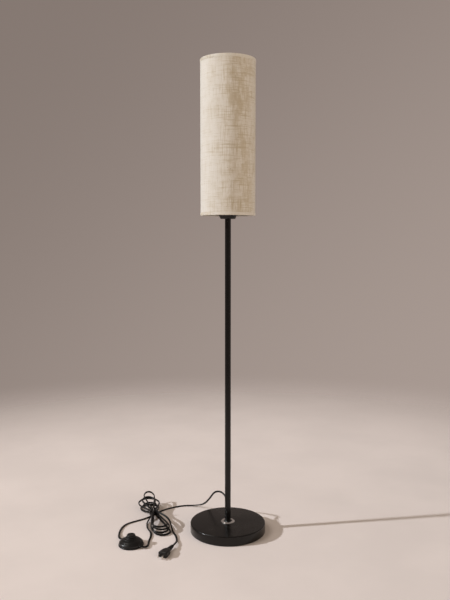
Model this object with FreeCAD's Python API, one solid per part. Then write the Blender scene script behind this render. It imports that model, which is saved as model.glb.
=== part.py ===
import FreeCAD, Part
import math
import os

# Column floor lamp: weighted round base, three-piece pole, linen column shade,
# and a mains lead with a foot switch, a tied hank and a two-blade plug.
# Millimetres. +Z is up, the origin is the centre of the base on the floor,
# and the front of the lamp faces -Y.

Vec = FreeCAD.Vector
UP = Vec(0, 0, 1)

# ---------------------------------------------------------------- clearances
FIT = 0.05            # radial clearance of a fixed fit
SLIP = 0.3            # loose clearance between assembled pieces
THREAD_CLEARANCE = 0.05

# ---------------------------------------------------------------------- base
BASE_DIAMETER = 230.0
BASE_HEIGHT = 30.0
COVER_SHEET = 1.2
COVER_EDGE_RADIUS = 3.0
COVER_HEM_WIDTH = 6.0
COVER_HEM_RADIUS = 1.0
PAD_THICKNESS = 2.0
PAD_INSET = 3.0
CLOSING_PLATE_THICKNESS = 1.0
WEIGHT_WEB = 11.0
WEIGHT_RIM_WIDTH = 14.0
WEIGHT_BOSS_DIAMETER = 46.0
WEIGHT_BOSS_DROP = 3.0

# ------------------------------------------------- bolt that holds the pole up
BOLT_DIAMETER = 10.0
BOLT_HEAD_FLATS = 16.0
BOLT_HEAD_HEIGHT = 6.0
BOLT_HOLE_CLEARANCE = 0.5
BOLT_GRIP_IN_POLE = 16.0
WASHER_DIAMETER = 30.0
WASHER_THICKNESS = 2.5

# ------------------------------------------------------ trim at the pole foot
RING_OUTER_DIAMETER = 42.0
RING_INNER_DIAMETER = 25.4
RING_HEIGHT = 3.4
COLLAR_DIAMETER = 24.6
COLLAR_HEIGHT = 3.0

# ---------------------------------------------------------------------- pole
POLE_DIAMETER = 18.0
POLE_WALL = 1.0
LOWER_JOINT_HEIGHT = 261.0
UPPER_JOINT_HEIGHT = 622.0
POLE_TOP_HEIGHT = 956.5
TUBE_END_CHAMFER = 0.35
INSERT_LENGTH = 18.0
NIPPLE_DIAMETER = 10.0
NIPPLE_BORE = 7.2
NIPPLE_REACH = 15.0

# ------------------------------------------------------------------ the cord
CORD_DIAMETER = 5.4
CORD_RADIUS = CORD_DIAMETER / 2
OUTLET_HEIGHT = 80.0
OUTLET_HOLE_DIAMETER = 9.6
SLEEVE_LENGTH = 22.0
SLEEVE_FLANGE_DIAMETER = 13.0
SLEEVE_ROOT_DIAMETER = 9.6
SLEEVE_TIP_DIAMETER = 7.4
SLEEVE_FLANGE_THICKNESS = 1.8
INNER_BEND_RADIUS = 7.6

# ------------------------------------------------- lamp holder under the shade
CUP_DIAMETER = 55.0
CUP_FOOT_DIAMETER = 44.0
CUP_FLARE_HEIGHT = 11.5
CUP_HEIGHT = 31.5
CUP_SHEET = 1.2
NUT_FLATS = 14.0
NUT_HEIGHT = 5.0
HOLDER_DIAMETER = 36.0
HOLDER_SKIRT_DIAMETER = 39.8
HOLDER_FLANGE_DIAMETER = 56.4
HOLDER_FLANGE_THICKNESS = 2.0
HOLDER_SKIRT_HEIGHT = 26.0
HOLDER_FLOOR = 3.0
HOLDER_WEB = 3.0
HOLDER_WEB_DEPTH = 9.0        # web underside below the flange top
HOLDER_WALL = 2.6
SHELL_BORE = 27.4
SHELL_SHEET = 0.5
SHELL_LENGTH = 27.0
TERMINAL_SPACING = 15.0
CONTACT_HEIGHT = 2.4
RING_NUT_DIAMETER = 54.0
RING_NUT_HEIGHT = 8.0
RING_NUT_NOTCHES = 12
RING_NUT_NOTCH_RADIUS = 1.6

# --------------------------------------------------------------------- shade
SHADE_DIAMETER = 163.0
SHADE_HEIGHT = 450.0
SHADE_RIM_DROP = 24.0         # lower rim below the top of the holder flange
HEM_THICKNESS = 0.6
HEM_DEPTH = 9.0
HEM_INNER_DEPTH = 2.2
FABRIC_THICKNESS = 0.6
LINER_THICKNESS = 0.5
FRAME_WIRE = 3.0
WIRE_GAP = 0.1
SPIDER_ARMS = 3
SPIDER_HUB_OUTER = 62.0
SPIDER_HUB_SHEET = 1.2
SPIDER_BEND_RADIUS = 9.0
SPIDER_FIRST_ARM_DEG = 90.0

# ---------------------------------------------------------------------- bulb
BULB_DIAMETER = 60.0
BULB_LENGTH = 108.0
BULB_CAP_DIAMETER = 26.2
BULB_CAP_LENGTH = 24.0
BULB_TIP_DIAMETER = 9.0
BULB_TIP_HEIGHT = 2.6
BULB_HOUSING_LENGTH = 34.0
BULB_HOUSING_TOP_DIAMETER = 52.0
BULB_GLASS_THICKNESS = 1.0

# --------------------------------------------------------------- foot switch
SWITCH_X = -285.0
SWITCH_Y = -102.0
SWITCH_AXIS_DEG = -38.0       # heading of the outgoing cord
SWITCH_DIAMETER = 74.0
SWITCH_FLANGE_LIFT = 0.8
SWITCH_FLANGE_TOP = 4.2
SWITCH_FLANGE_EDGE = 1.2
SWITCH_BODY_DIAMETER = 70.4
SWITCH_SIDE_HEIGHT = 9.8
SWITCH_RIDGE_DIAMETER = 61.0   # low step half way up the dome
SWITCH_RIDGE_HEIGHT = 14.0
SWITCH_RIDGE_RISE = 1.3
SWITCH_DOME_BULGE = 0.7
SWITCH_STEP_DIAMETER = 43.0
SWITCH_STEP_HEIGHT = 19.6
SWITCH_STEP_RISE = 1.4
SWITCH_COLLAR_DIAMETER = 32.0
SWITCH_COLLAR_TOP = 26.0
SWITCH_WALL = 2.2
SWITCH_PAD_OUTER = 48.0
SWITCH_PAD_INNER = 26.0
SWITCH_PAD_RECESS = 0.8
BUTTON_DIAMETER = 25.4
BUTTON_TOP = 33.0
BUTTON_EDGE_RADIUS = 2.4
BUTTON_DISH_DEPTH = 0.8
BUTTON_TRAVEL = 3.0
BUTTON_CLEARANCE = 0.4
BUTTON_LIP = 1.6              # how far the retaining lip stands out
BUTTON_LIP_THICKNESS = 1.8
BUTTON_POCKET_DIAMETER = 17.0
BUTTON_POCKET_DEPTH = 6.0
BUTTON_POST_DIAMETER = 6.0
SPRING_DIAMETER = 10.4
SPRING_WIRE = 1.0
SPRING_TURNS = 4
SPRING_SEAT_HEIGHT = 3.0
SPRING_GUIDE_DIAMETER = 6.4
SPRING_GUIDE_HEIGHT = 5.0
CONTACT_SHEET = 0.8
CONTACT_GAP_CLOSED = 0.2
CONTACT_POST_WIDTH = 5.0
CONTACT_POST_THICKNESS = 2.0
SWITCH_CORD_HEIGHT = 7.4
SWITCH_BUSHING_DIAMETER = 9.0
SWITCH_BUSHING_REACH = 1.0    # how far the bushings stand past the flange
SCREW_COUNT = 3
SCREW_CIRCLE_DIAMETER = 56.0
SCREW_HEAD_DIAMETER = 5.4
SCREW_HEAD_HEIGHT = 1.8
SCREW_SHANK_DIAMETER = 2.9
SCREW_LENGTH = 10.0
SCREW_BOSS_DIAMETER = 6.6

# ---------------------------------------------------------------------- plug
PLUG_TAIL_X = -161.6
PLUG_TAIL_Y = -127.0
PLUG_HEADING_DEG = -112.3
PLUG_RELIEF_LENGTH = 27.0
PLUG_RELIEF_TIP_DIAMETER = 7.8
PLUG_RELIEF_ROOT_DIAMETER = 12.6
PLUG_RELIEF_RIBS = 4
PLUG_RIB_HEIGHT = 0.9
PLUG_BODY_LENGTH = 35.0
PLUG_WIDTH = 28.0
PLUG_THICKNESS = 17.0
PLUG_CORNER_RADIUS = 5.0
BLADE_SPACING = 12.7
BLADE_WIDTH = 6.35
BLADE_THICKNESS = 1.5
BLADE_LENGTH = 17.5
BLADE_EMBED = 8.0
BLADE_HOLE_DIAMETER = 3.2
BLADE_HOLE_FROM_TIP = 4.0
BLADE_TIP_BEVEL = 1.6

# ---------------------------------------------------------------------- hank
HANK_WAIST_X = -240.0
HANK_WAIST_Y = 106.0
HANK_HEADING_DEG = 107.5
HANK_UPPER_LOOPS = 5
HANK_LAYER = 6.35             # climb from one loop to the next
HANK_WAIST_HEIGHT = 11.2      # the lead to the switch passes under the waist
HANK_WAIST_ROW = 3.1
HANK_OUTER_COLUMN = 9.1
HANK_INNER_COLUMN = 3.2
HANK_TOP_ROW = 5.1            # rows up to the last pair of strands
UPPER_REACH = (102.0, 95.0, 111.0, 104.0, 118.0)
UPPER_HALF_WIDTH = (30.0, 23.0, 34.5, 21.0, 17.0)
UPPER_LEAN_DEG = (1.0, 2.0, 0.0, 0.0, 3.0)
UPPER_RISE = (0.0, 3.0, 6.0, 7.5, 13.5)
LOWER_REACH = (155.0, 150.0, 144.0, 138.0)
LOWER_HALF_WIDTH = (25.5, 25.0, 25.0, 23.5)
LOWER_SHIFT = (0.0, -5.5, 0.0, -4.5)
HANK_ENTRY = (-63.0, -35.0)
HANK_EXIT_SIDE = (-96.0, 32.0, 20.5)
HANK_EXIT = (-146.0, 32.0)
HANK_TAIL = CORD_DIAMETER     # straight end stubs
TIE_WIDTH = 6.0
TIE_THICKNESS = 1.2
TIE_GAP = 0.3
TIE_TAIL_LENGTH = 15.0

# -------------------------------------------------------- values worked out
base_r = BASE_DIAMETER / 2
cover_z0 = PAD_THICKNESS
cover_inner_r = base_r - COVER_SHEET
cover_underside = BASE_HEIGHT - COVER_SHEET
plate_z0 = cover_z0 + COVER_SHEET
plate_z1 = plate_z0 + CLOSING_PLATE_THICKNESS
web_z0 = cover_underside - WEIGHT_WEB
boss_z0 = web_z0 - WEIGHT_BOSS_DROP
bolt_r = BOLT_DIAMETER / 2
bolt_hole_r = bolt_r + BOLT_HOLE_CLEARANCE
thread_bore_r = bolt_r + THREAD_CLEARANCE
nipple_r = NIPPLE_DIAMETER / 2
nipple_hole_r = nipple_r + THREAD_CLEARANCE
pole_r = POLE_DIAMETER / 2
pole_bore_r = pole_r - POLE_WALL
sleeve_end_y = pole_r + SLEEVE_LENGTH
shade_r = SHADE_DIAMETER / 2
fabric_r = shade_r - HEM_THICKNESS
liner_r = fabric_r - FABRIC_THICKNESS
liner_bore_r = liner_r - LINER_THICKNESS
wire_r = FRAME_WIRE / 2
frame_ring_r = liner_bore_r - WIRE_GAP - wire_r
cup_z0 = POLE_TOP_HEIGHT
cup_z1 = cup_z0 + CUP_HEIGHT
cup_r = CUP_DIAMETER / 2
nut_z0 = cup_z0 + CUP_SHEET
holder_z0 = nut_z0 + NUT_HEIGHT
flange_z1 = cup_z1 + HOLDER_FLANGE_THICKNESS
shade_z0 = flange_z1 - SHADE_RIM_DROP
shade_z1 = shade_z0 + SHADE_HEIGHT
holder_z1 = flange_z1 + HOLDER_SKIRT_HEIGHT
skirt_r = HOLDER_SKIRT_DIAMETER / 2
web_top = flange_z1 - HOLDER_WEB_DEPTH + HOLDER_WEB
shell_outer_r = SHELL_BORE / 2 + SHELL_SHEET
shell_z0 = web_top
hub_z1 = flange_z1 + SPIDER_HUB_SHEET
bottom_ring_z = shade_z0 + HEM_THICKNESS + wire_r
top_ring_z = shade_z1 - HEM_THICKNESS - wire_r
bulb_z0 = web_top + CONTACT_HEIGHT


# ============================================================ shape helpers
def save(shape, node):
    """Write one sub-part, after a check that it is sound."""
    solids = shape.Solids
    if not solids or not all(s.isValid() and s.Volume > 0 for s in solids):
        raise RuntimeError("bad shape: " + node)
    shape.exportStep(os.path.join("parts", node + ".step"))
    print("%-18s %2d solid(s) %12.1f mm3" % (node, len(solids), shape.Volume))


def cylinder(radius, z0, z1, x=0.0, y=0.0):
    return Part.makeCylinder(radius, z1 - z0, Vec(x, y, z0), UP)


def tube(outer, inner, z0, z1):
    return cylinder(outer, z0, z1).cut(cylinder(inner, z0 - 1, z1 + 1))


def box(x0, x1, y0, y1, z0, z1):
    return Part.makeBox(x1 - x0, y1 - y0, z1 - z0, Vec(x0, y0, z0))


def hex_prism(flats, z0, z1):
    corner = flats / math.sqrt(3)
    ring = [Vec(corner * math.cos(math.radians(60 * i)), corner * math.sin(math.radians(60 * i)), z0)
            for i in range(6)]
    face = Part.Face(Part.makePolygon(ring + ring[:1]))
    return face.extrude(Vec(0, 0, z1 - z0))


def rounded_outline(corners):
    """Closed wire through corners given as (a, b) or (a, b, rounding), in the XZ plane."""
    points = [Vec(c[0], 0, c[1]) for c in corners]
    edges = []
    starts = []
    ends = []
    arcs = []
    count = len(points)
    for i in range(count):
        rounding = corners[i][2] if len(corners[i]) > 2 else 0.0
        if rounding <= 0:
            starts.append(points[i])
            ends.append(points[i])
            arcs.append(None)
            continue
        back = (points[i - 1] - points[i]).normalize()
        ahead = (points[(i + 1) % count] - points[i]).normalize()
        half = back.getAngle(ahead) / 2
        trim = rounding / math.tan(half)
        bisector = (back + ahead).normalize()
        middle = points[i] + bisector * (rounding / math.sin(half) - rounding)
        starts.append(points[i] + back * trim)
        ends.append(points[i] + ahead * trim)
        arcs.append(middle)
    for i in range(count):
        if arcs[i] is not None:
            edges.append(Part.Arc(starts[i], arcs[i], ends[i]).toShape())
        following = starts[(i + 1) % count]
        if (following - ends[i]).Length > 1e-6:
            edges.append(Part.LineSegment(ends[i], following).toShape())
    return Part.Wire(edges)


def turned(corners):
    """Solid of revolution about Z from (radius, height[, rounding]) corners."""
    face = Part.Face(rounded_outline(corners))
    return face.revolve(Vec(0, 0, 0), UP, 360)


def turned_along_x(corners):
    """Solid of revolution about X from (distance along X, radius[, rounding]) corners."""
    face = Part.Face(rounded_outline(corners))
    return face.revolve(Vec(0, 0, 0), Vec(1, 0, 0), 360)


def moved(shape, x, y, z, heading_deg=0.0):
    placed = shape.copy()
    placed.rotate(Vec(0, 0, 0), UP, heading_deg)
    placed.translate(Vec(x, y, z))
    return placed


def around(shape, count, first_deg=0.0):
    """Copies of a shape, evenly spaced about Z."""
    copies = []
    for i in range(count):
        copies.append(moved(shape, 0, 0, 0, first_deg + 360.0 * i / count))
    return copies


# ============================================================= cord helpers
def sweep(edges, radius):
    """Round tube along a tangent-continuous chain of edges."""
    start = edges[0].valueAt(edges[0].FirstParameter)
    heading = edges[0].tangentAt(edges[0].FirstParameter)
    section = Part.Wire(Part.makeCircle(radius, start, heading))
    return Part.Wire(edges).makePipeShell([section], True, False)


def route_edges(points, name=""):
    """Straight runs joined by tangent arcs as large as the runs allow."""
    corners = [Vec(*p) for p in points]
    edges = []
    radii = []
    here = corners[0]
    for i in range(1, len(corners) - 1):
        back = corners[i - 1] - corners[i]
        ahead = corners[i + 1] - corners[i]
        turn = math.pi - back.getAngle(ahead)
        trim = 0.45 * min(back.Length, ahead.Length)
        radius = trim / math.tan(turn / 2)
        back.normalize()
        ahead.normalize()
        start = corners[i] + back * trim
        end = corners[i] + ahead * trim
        middle = corners[i] + (back + ahead).normalize() * (radius / math.cos(turn / 2) - radius)
        edges.append(Part.LineSegment(here, start).toShape())
        edges.append(Part.Arc(start, middle, end).toShape())
        radii.append(radius)
        here = end
    edges.append(Part.LineSegment(here, corners[-1]).toShape())
    if name:
        print("%s arc radii (mm): %s" % (name, " ".join("%.0f" % r for r in radii)))
    return edges


def cord_tube(points, name):
    edges = route_edges(points, name)
    solid = sweep(edges, CORD_RADIUS)
    length = sum(edge.Length for edge in edges)
    expected = math.pi * CORD_RADIUS ** 2 * length
    print("%s length %.0f mm, volume ratio %.4f" % (name, length, solid.Volume / expected))
    return solid


def biarc_edges(start, start_dir, end, end_dir):
    """Two arcs with one shared tangent that join two directed points."""
    span = end - start
    total = start_dir + end_dir
    a = 2 * (1 - start_dir.dot(end_dir))
    b = 2 * span.dot(total)
    c = -span.dot(span)
    if abs(a) > 1e-9:
        reach = (-b + math.sqrt(b * b - 4 * a * c)) / (2 * a)
    else:
        reach = -c / b
    first = start + start_dir * reach
    second = end - end_dir * reach
    joint = (first + second) * 0.5
    joint_dir = (second - first).normalize()
    return [arc_from(start, start_dir, joint), arc_from(joint, joint_dir, end)]


def arc_from(start, direction, end):
    """Arc that leaves start along direction and ends at end."""
    chord = end - start
    along = chord.dot(direction)
    side = chord - direction * along
    if side.Length < 1e-6 * chord.Length:
        return Part.LineSegment(start, end).toShape()
    radius = chord.dot(chord) / (2 * side.Length)
    quarter = math.atan2(side.Length, along)
    side.normalize()
    middle = start + direction * (radius * math.sin(quarter)) + side * (radius * (1 - math.cos(quarter)))
    return Part.Arc(start, middle, end).toShape()


def least_gap_to_itself(edges, radius):
    """Least clear distance between stretches of one tube, measured on points 1 mm apart."""
    points = []
    travelled = []
    distance = 0.0
    for edge in edges:
        steps = max(1, int(edge.Length))
        for i in range(steps):
            share = (i + 0.5) / steps
            points.append(edge.valueAt(edge.FirstParameter + share * (edge.LastParameter - edge.FirstParameter)))
            travelled.append(distance + share * edge.Length)
        distance += edge.Length
    cells = {}
    size = 4 * radius
    for i, p in enumerate(points):
        cells.setdefault((int(p.x // size), int(p.y // size), int(p.z // size)), []).append(i)
    least = 1e9
    for (cx, cy, cz), members in cells.items():
        nearby = [j for dx in (-1, 0, 1) for dy in (-1, 0, 1) for dz in (-1, 0, 1)
                  for j in cells.get((cx + dx, cy + dy, cz + dz), ())]
        for i in members:
            for j in nearby:
                if travelled[j] - travelled[i] > 8 * radius:
                    least = min(least, (points[i] - points[j]).Length)
    return least - 2 * radius


# ===================================================================== base
def make_base_cover():
    return turned([
        (bolt_hole_r, cover_underside),
        (bolt_hole_r, BASE_HEIGHT),
        (base_r, BASE_HEIGHT, COVER_EDGE_RADIUS),
        (base_r, cover_z0, COVER_HEM_RADIUS),
        (base_r - COVER_HEM_WIDTH, cover_z0),
        (base_r - COVER_HEM_WIDTH, plate_z0),
        (cover_inner_r, plate_z0),
        (cover_inner_r, cover_underside, COVER_EDGE_RADIUS - COVER_SHEET),
    ])


def make_base_weight():
    outer = cover_inner_r - SLIP
    shoulder = COVER_EDGE_RADIUS
    return turned([
        (bolt_hole_r, boss_z0),
        (bolt_hole_r, cover_underside),
        (outer, cover_underside, shoulder),
        (outer, plate_z1),
        (outer - WEIGHT_RIM_WIDTH, plate_z1),
        (outer - WEIGHT_RIM_WIDTH, web_z0),
        (WEIGHT_BOSS_DIAMETER / 2, web_z0),
        (WEIGHT_BOSS_DIAMETER / 2, boss_z0),
    ])


def make_base_pad():
    step = base_r - COVER_HEM_WIDTH - SLIP
    return turned([
        (0, 0),
        (base_r - PAD_INSET, 0),
        (base_r - PAD_INSET, PAD_THICKNESS),
        (step, PAD_THICKNESS),
        (step, plate_z0),
        (0, plate_z0),
    ])


def make_base_bolt():
    head_z1 = boss_z0 - WASHER_THICKNESS
    head = hex_prism(BOLT_HEAD_FLATS, head_z1 - BOLT_HEAD_HEIGHT, head_z1)
    shank = cylinder(bolt_r, head_z1 - 1, BASE_HEIGHT + BOLT_GRIP_IN_POLE)
    tip = Part.makeCone(bolt_r + 1.0, bolt_r - 1.0, 2.0, Vec(0, 0, BASE_HEIGHT + BOLT_GRIP_IN_POLE - 2.0), UP)
    full = shank.cut(cylinder(bolt_r + 2, BASE_HEIGHT + BOLT_GRIP_IN_POLE - 1.0, BASE_HEIGHT + 90).cut(tip))
    return head.fuse(full).removeSplitter()


def make_foot_ring():
    z0 = BASE_HEIGHT
    inner = RING_INNER_DIAMETER / 2
    outer = RING_OUTER_DIAMETER / 2
    return turned([
        (inner, z0),
        (inner, z0 + RING_HEIGHT, 1.4),
        (outer - 3.0, z0 + RING_HEIGHT, 2.6),
        (outer, z0 + 0.35 * RING_HEIGHT, 0.7),
        (outer, z0),
    ])


def make_foot_collar():
    return turned([
        (pole_r + FIT, BASE_HEIGHT),
        (pole_r + FIT, BASE_HEIGHT + COLLAR_HEIGHT),
        (COLLAR_DIAMETER / 2, BASE_HEIGHT + COLLAR_HEIGHT, 0.9),
        (COLLAR_DIAMETER / 2, BASE_HEIGHT),
    ])


# ===================================================================== pole
def make_pole_section(z0, z1):
    bevel = TUBE_END_CHAMFER
    return turned([
        (pole_bore_r, z0),
        (pole_bore_r, z1),
        (pole_r - bevel, z1),
        (pole_r, z1 - bevel),
        (pole_r, z0 + bevel),
        (pole_r - bevel, z0),
    ])


def make_pole_lower():
    hole = Part.makeCylinder(OUTLET_HOLE_DIAMETER / 2, pole_r + 2, Vec(0, 0, OUTLET_HEIGHT), Vec(0, 1, 0))
    return make_pole_section(BASE_HEIGHT, LOWER_JOINT_HEIGHT).cut(hole)


def make_pole_inserts():
    spans = [
        (BASE_HEIGHT, BASE_HEIGHT + INSERT_LENGTH),
        (LOWER_JOINT_HEIGHT - INSERT_LENGTH, LOWER_JOINT_HEIGHT),
        (LOWER_JOINT_HEIGHT, LOWER_JOINT_HEIGHT + INSERT_LENGTH),
        (UPPER_JOINT_HEIGHT - INSERT_LENGTH, UPPER_JOINT_HEIGHT),
        (UPPER_JOINT_HEIGHT, UPPER_JOINT_HEIGHT + INSERT_LENGTH),
        (POLE_TOP_HEIGHT - INSERT_LENGTH, POLE_TOP_HEIGHT),
    ]
    return Part.makeCompound([tube(pole_bore_r, thread_bore_r, z0, z1) for z0, z1 in spans])


def make_pole_nipples():
    spans = [
        (LOWER_JOINT_HEIGHT - NIPPLE_REACH, LOWER_JOINT_HEIGHT + NIPPLE_REACH),
        (UPPER_JOINT_HEIGHT - NIPPLE_REACH, UPPER_JOINT_HEIGHT + NIPPLE_REACH),
        (POLE_TOP_HEIGHT - NIPPLE_REACH, holder_z0 + HOLDER_FLOOR),
    ]
    return Part.makeCompound([tube(nipple_r, NIPPLE_BORE / 2, z0, z1) for z0, z1 in spans])


def make_cord_sleeve():
    """Snap-in bushing with a ribbed, tapering tail, seated on the back of the pole."""
    flange_end = pole_r + SLEEVE_FLANGE_THICKNESS
    tail = sleeve_end_y - flange_end
    corners = [
        (pole_r - 3.0, CORD_RADIUS + FIT),
        (pole_r - 3.0, SLEEVE_FLANGE_DIAMETER / 2),
        (flange_end, SLEEVE_FLANGE_DIAMETER / 2, 0.8),
        (flange_end, SLEEVE_ROOT_DIAMETER / 2),
    ]
    ribs = 4
    for i in range(ribs):
        share = (i + 0.5) / ribs
        radius = SLEEVE_ROOT_DIAMETER / 2 + (SLEEVE_TIP_DIAMETER - SLEEVE_ROOT_DIAMETER) / 2 * share
        at = flange_end + tail * share
        corners += [(at - 1.0, radius), (at - 1.0, radius - 0.6), (at + 1.0, radius - 0.6), (at + 1.0, radius)]
    corners += [
        (sleeve_end_y, SLEEVE_TIP_DIAMETER / 2, 0.5),
        (sleeve_end_y, CORD_RADIUS + FIT),
    ]
    outside = turned_along_x(corners)
    outside = outside.cut(Part.makeCylinder(pole_r + FIT, 40, Vec(0, 0, -20), UP))
    neck = Part.makeCylinder(OUTLET_HOLE_DIAMETER / 2 - FIT, pole_r + 0.4 - pole_bore_r + 1.0,
                             Vec(pole_bore_r - 1.0, 0, 0), Vec(1, 0, 0))
    bore = Part.makeCylinder(CORD_RADIUS + FIT, 60, Vec(-1, 0, 0), Vec(1, 0, 0))
    whole = outside.fuse(neck).cut(bore)
    return moved(whole, 0, 0, OUTLET_HEIGHT, 90)


def make_inner_cord():
    """Lead inside the pole, from the lamp holder down and out through the sleeve."""
    bend = INNER_BEND_RADIUS
    corner = Vec(0, 0, OUTLET_HEIGHT)
    top = Vec(0, 0, holder_z0 + HOLDER_FLOOR + 3.0)
    bend_top = corner + Vec(0, 0, bend)
    bend_out = corner + Vec(0, bend, 0)
    bend_mid = corner + Vec(0, bend, bend) - Vec(0, 1, 1).normalize() * bend
    edges = [
        Part.LineSegment(top, bend_top).toShape(),
        Part.Arc(bend_top, bend_mid, bend_out).toShape(),
        Part.LineSegment(bend_out, Vec(0, sleeve_end_y, OUTLET_HEIGHT)).toShape(),
    ]
    return sweep(edges, CORD_RADIUS)


# ============================================================== lamp holder
def make_socket_cup():
    foot = CUP_FOOT_DIAMETER / 2
    sheet = CUP_SHEET
    return turned([
        (nipple_hole_r, cup_z0),
        (foot, cup_z0, 2.2),
        (cup_r, cup_z0 + CUP_FLARE_HEIGHT, 5.0),
        (cup_r, cup_z1),
        (cup_r - sheet, cup_z1),
        (cup_r - sheet, cup_z0 + CUP_FLARE_HEIGHT + 0.4, 4.0),
        (foot - 0.8, cup_z0 + sheet, 1.2),
        (nipple_hole_r, cup_z0 + sheet),
    ])


def make_cup_nut():
    return hex_prism(NUT_FLATS, nut_z0, holder_z0).cut(cylinder(nipple_hole_r, nut_z0 - 1, holder_z0 + 1))


def make_socket_body():
    lower = HOLDER_DIAMETER / 2
    web_z = web_top - HOLDER_WEB
    shell = turned([
        (nipple_hole_r, holder_z0),
        (lower, holder_z0, 1.5),
        (lower, cup_z1),
        (HOLDER_FLANGE_DIAMETER / 2, cup_z1),
        (HOLDER_FLANGE_DIAMETER / 2, flange_z1, 0.6),
        (skirt_r, flange_z1),
        (skirt_r, holder_z1, 0.8),
        (shell_outer_r + FIT, holder_z1),
        (shell_outer_r + FIT, web_top),
        (3.0, web_top),
        (3.0, web_z),
        (lower - HOLDER_WALL, web_z),
        (lower - HOLDER_WALL, holder_z0 + HOLDER_FLOOR),
        (nipple_hole_r, holder_z0 + HOLDER_FLOOR),
    ])
    return shell


def make_socket_shell():
    outer = shell_outer_r
    inner = SHELL_BORE / 2
    return turned([
        (inner - 3.0, shell_z0),
        (outer, shell_z0),
        (outer, shell_z0 + SHELL_LENGTH),
        (inner, shell_z0 + SHELL_LENGTH),
        (inner, shell_z0 + SHELL_SHEET),
        (inner - 3.0, shell_z0 + SHELL_SHEET),
    ])


def make_socket_contact():
    """Centre contact: a rivet through the holder's web with a sprung tongue on top."""
    rivet = cylinder(2.4, web_top - HOLDER_WEB, web_top + 0.1)
    height = CONTACT_HEIGHT
    tongue = Part.Face(rounded_outline([
        (-3.0, web_top),
        (3.0, web_top),
        (5.2, web_top + 0.45 * height),
        (4.8, web_top + 0.62 * height),
        (1.2, web_top + height),
        (-1.6, web_top + height),
        (-1.6, web_top + height - 0.5),
        (0.9, web_top + height - 0.5),
        (3.9, web_top + 0.45 * height),
        (2.7, web_top + 0.5),
        (-3.0, web_top + 0.5),
    ])).extrude(Vec(0, 5.0, 0))
    tongue.translate(Vec(0, -2.5, 0))
    return rivet.fuse(tongue).removeSplitter()


def make_socket_terminals():
    """Two screw terminals under the holder's web."""
    top = web_top - HOLDER_WEB
    pieces = []
    for side in (-1, 1):
        x = side * TERMINAL_SPACING / 2
        block = box(x - 3.0, x + 3.0, -3.5, 3.5, top - 6.5, top)
        screw_seat = Part.makeCylinder(1.9, 8.0, Vec(x, -5.2, top - 3.4), Vec(0, 1, 0))
        head = Part.makeCylinder(2.6, 1.7, Vec(x, -5.2, top - 3.4), Vec(0, 1, 0))
        slot = box(x - 3.0, x + 3.0, -5.4, -4.5, top - 3.7, top - 3.1)
        pieces.append(block.fuse([screw_seat, head]).cut(slot).removeSplitter())
    return Part.makeCompound(pieces)


def make_shade_nut():
    outer = RING_NUT_DIAMETER / 2
    body = turned([
        (skirt_r + FIT, hub_z1),
        (outer, hub_z1, 0.8),
        (outer, hub_z1 + RING_NUT_HEIGHT, 1.6),
        (skirt_r + FIT, hub_z1 + RING_NUT_HEIGHT),
    ])
    notch = cylinder(RING_NUT_NOTCH_RADIUS, hub_z1 - 1, hub_z1 + RING_NUT_HEIGHT + 1, outer + 0.5, 0)
    return body.cut(around(notch, RING_NUT_NOTCHES))


# ==================================================================== shade
def wire_ring(z):
    return Part.makeTorus(frame_ring_r, wire_r, Vec(0, 0, z), UP)


def make_shade_spider():
    """Hub on the lamp holder and three bent arms, each welded down on the bottom ring."""
    hub_z = flange_z1 + SPIDER_HUB_SHEET / 2
    hub = tube(SPIDER_HUB_OUTER / 2, skirt_r + SLIP, flange_z1, hub_z1)
    bend = SPIDER_BEND_RADIUS
    arm_start = Vec(SPIDER_HUB_OUTER / 2 - wire_r * 2, 0, hub_z + wire_r)
    corner = Vec(frame_ring_r, 0, hub_z + wire_r)
    before = corner - Vec(bend, 0, 0)
    after = corner - Vec(0, 0, bend)
    middle = corner - Vec(bend, 0, bend) + Vec(1, 0, 1).normalize() * bend
    arm = sweep([
        Part.LineSegment(arm_start, before).toShape(),
        Part.Arc(before, middle, after).toShape(),
        Part.LineSegment(after, Vec(frame_ring_r, 0, bottom_ring_z)).toShape(),
    ], wire_r)
    arm = arm.cut(Part.makeTorus(frame_ring_r, wire_r + FIT, Vec(0, 0, bottom_ring_z), UP))
    return hub.fuse(around(arm.Solids[0], SPIDER_ARMS, SPIDER_FIRST_ARM_DEG)).removeSplitter()


def make_hem(edge_z, inward):
    """Folded cloth strip round one rim: edge_z is the rim, inward is +1 up or -1 down."""
    inner = frame_ring_r - wire_r - WIRE_GAP
    leg = HEM_THICKNESS
    return turned([
        (inner - leg, edge_z),
        (shade_r, edge_z, 0.25),
        (shade_r, edge_z + inward * HEM_DEPTH),
        (fabric_r, edge_z + inward * HEM_DEPTH),
        (fabric_r, edge_z + inward * leg),
        (inner, edge_z + inward * leg),
        (inner, edge_z + inward * HEM_INNER_DEPTH),
        (inner - leg, edge_z + inward * HEM_INNER_DEPTH),
    ])


# ===================================================================== bulb
def make_bulb_tip():
    return turned([
        (0, bulb_z0),
        (BULB_TIP_DIAMETER / 2 - 1.5, bulb_z0),
        (BULB_TIP_DIAMETER / 2, bulb_z0 + BULB_TIP_HEIGHT),
        (0, bulb_z0 + BULB_TIP_HEIGHT),
    ])


def make_bulb_cap():
    cap_z0 = bulb_z0 + BULB_TIP_HEIGHT
    r = BULB_CAP_DIAMETER / 2
    return turned([
        (0, cap_z0),
        (BULB_TIP_DIAMETER / 2, cap_z0),
        (r, cap_z0 + 4.0, 1.5),
        (r, cap_z0 + BULB_CAP_LENGTH),
        (0, cap_z0 + BULB_CAP_LENGTH),
    ])


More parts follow.
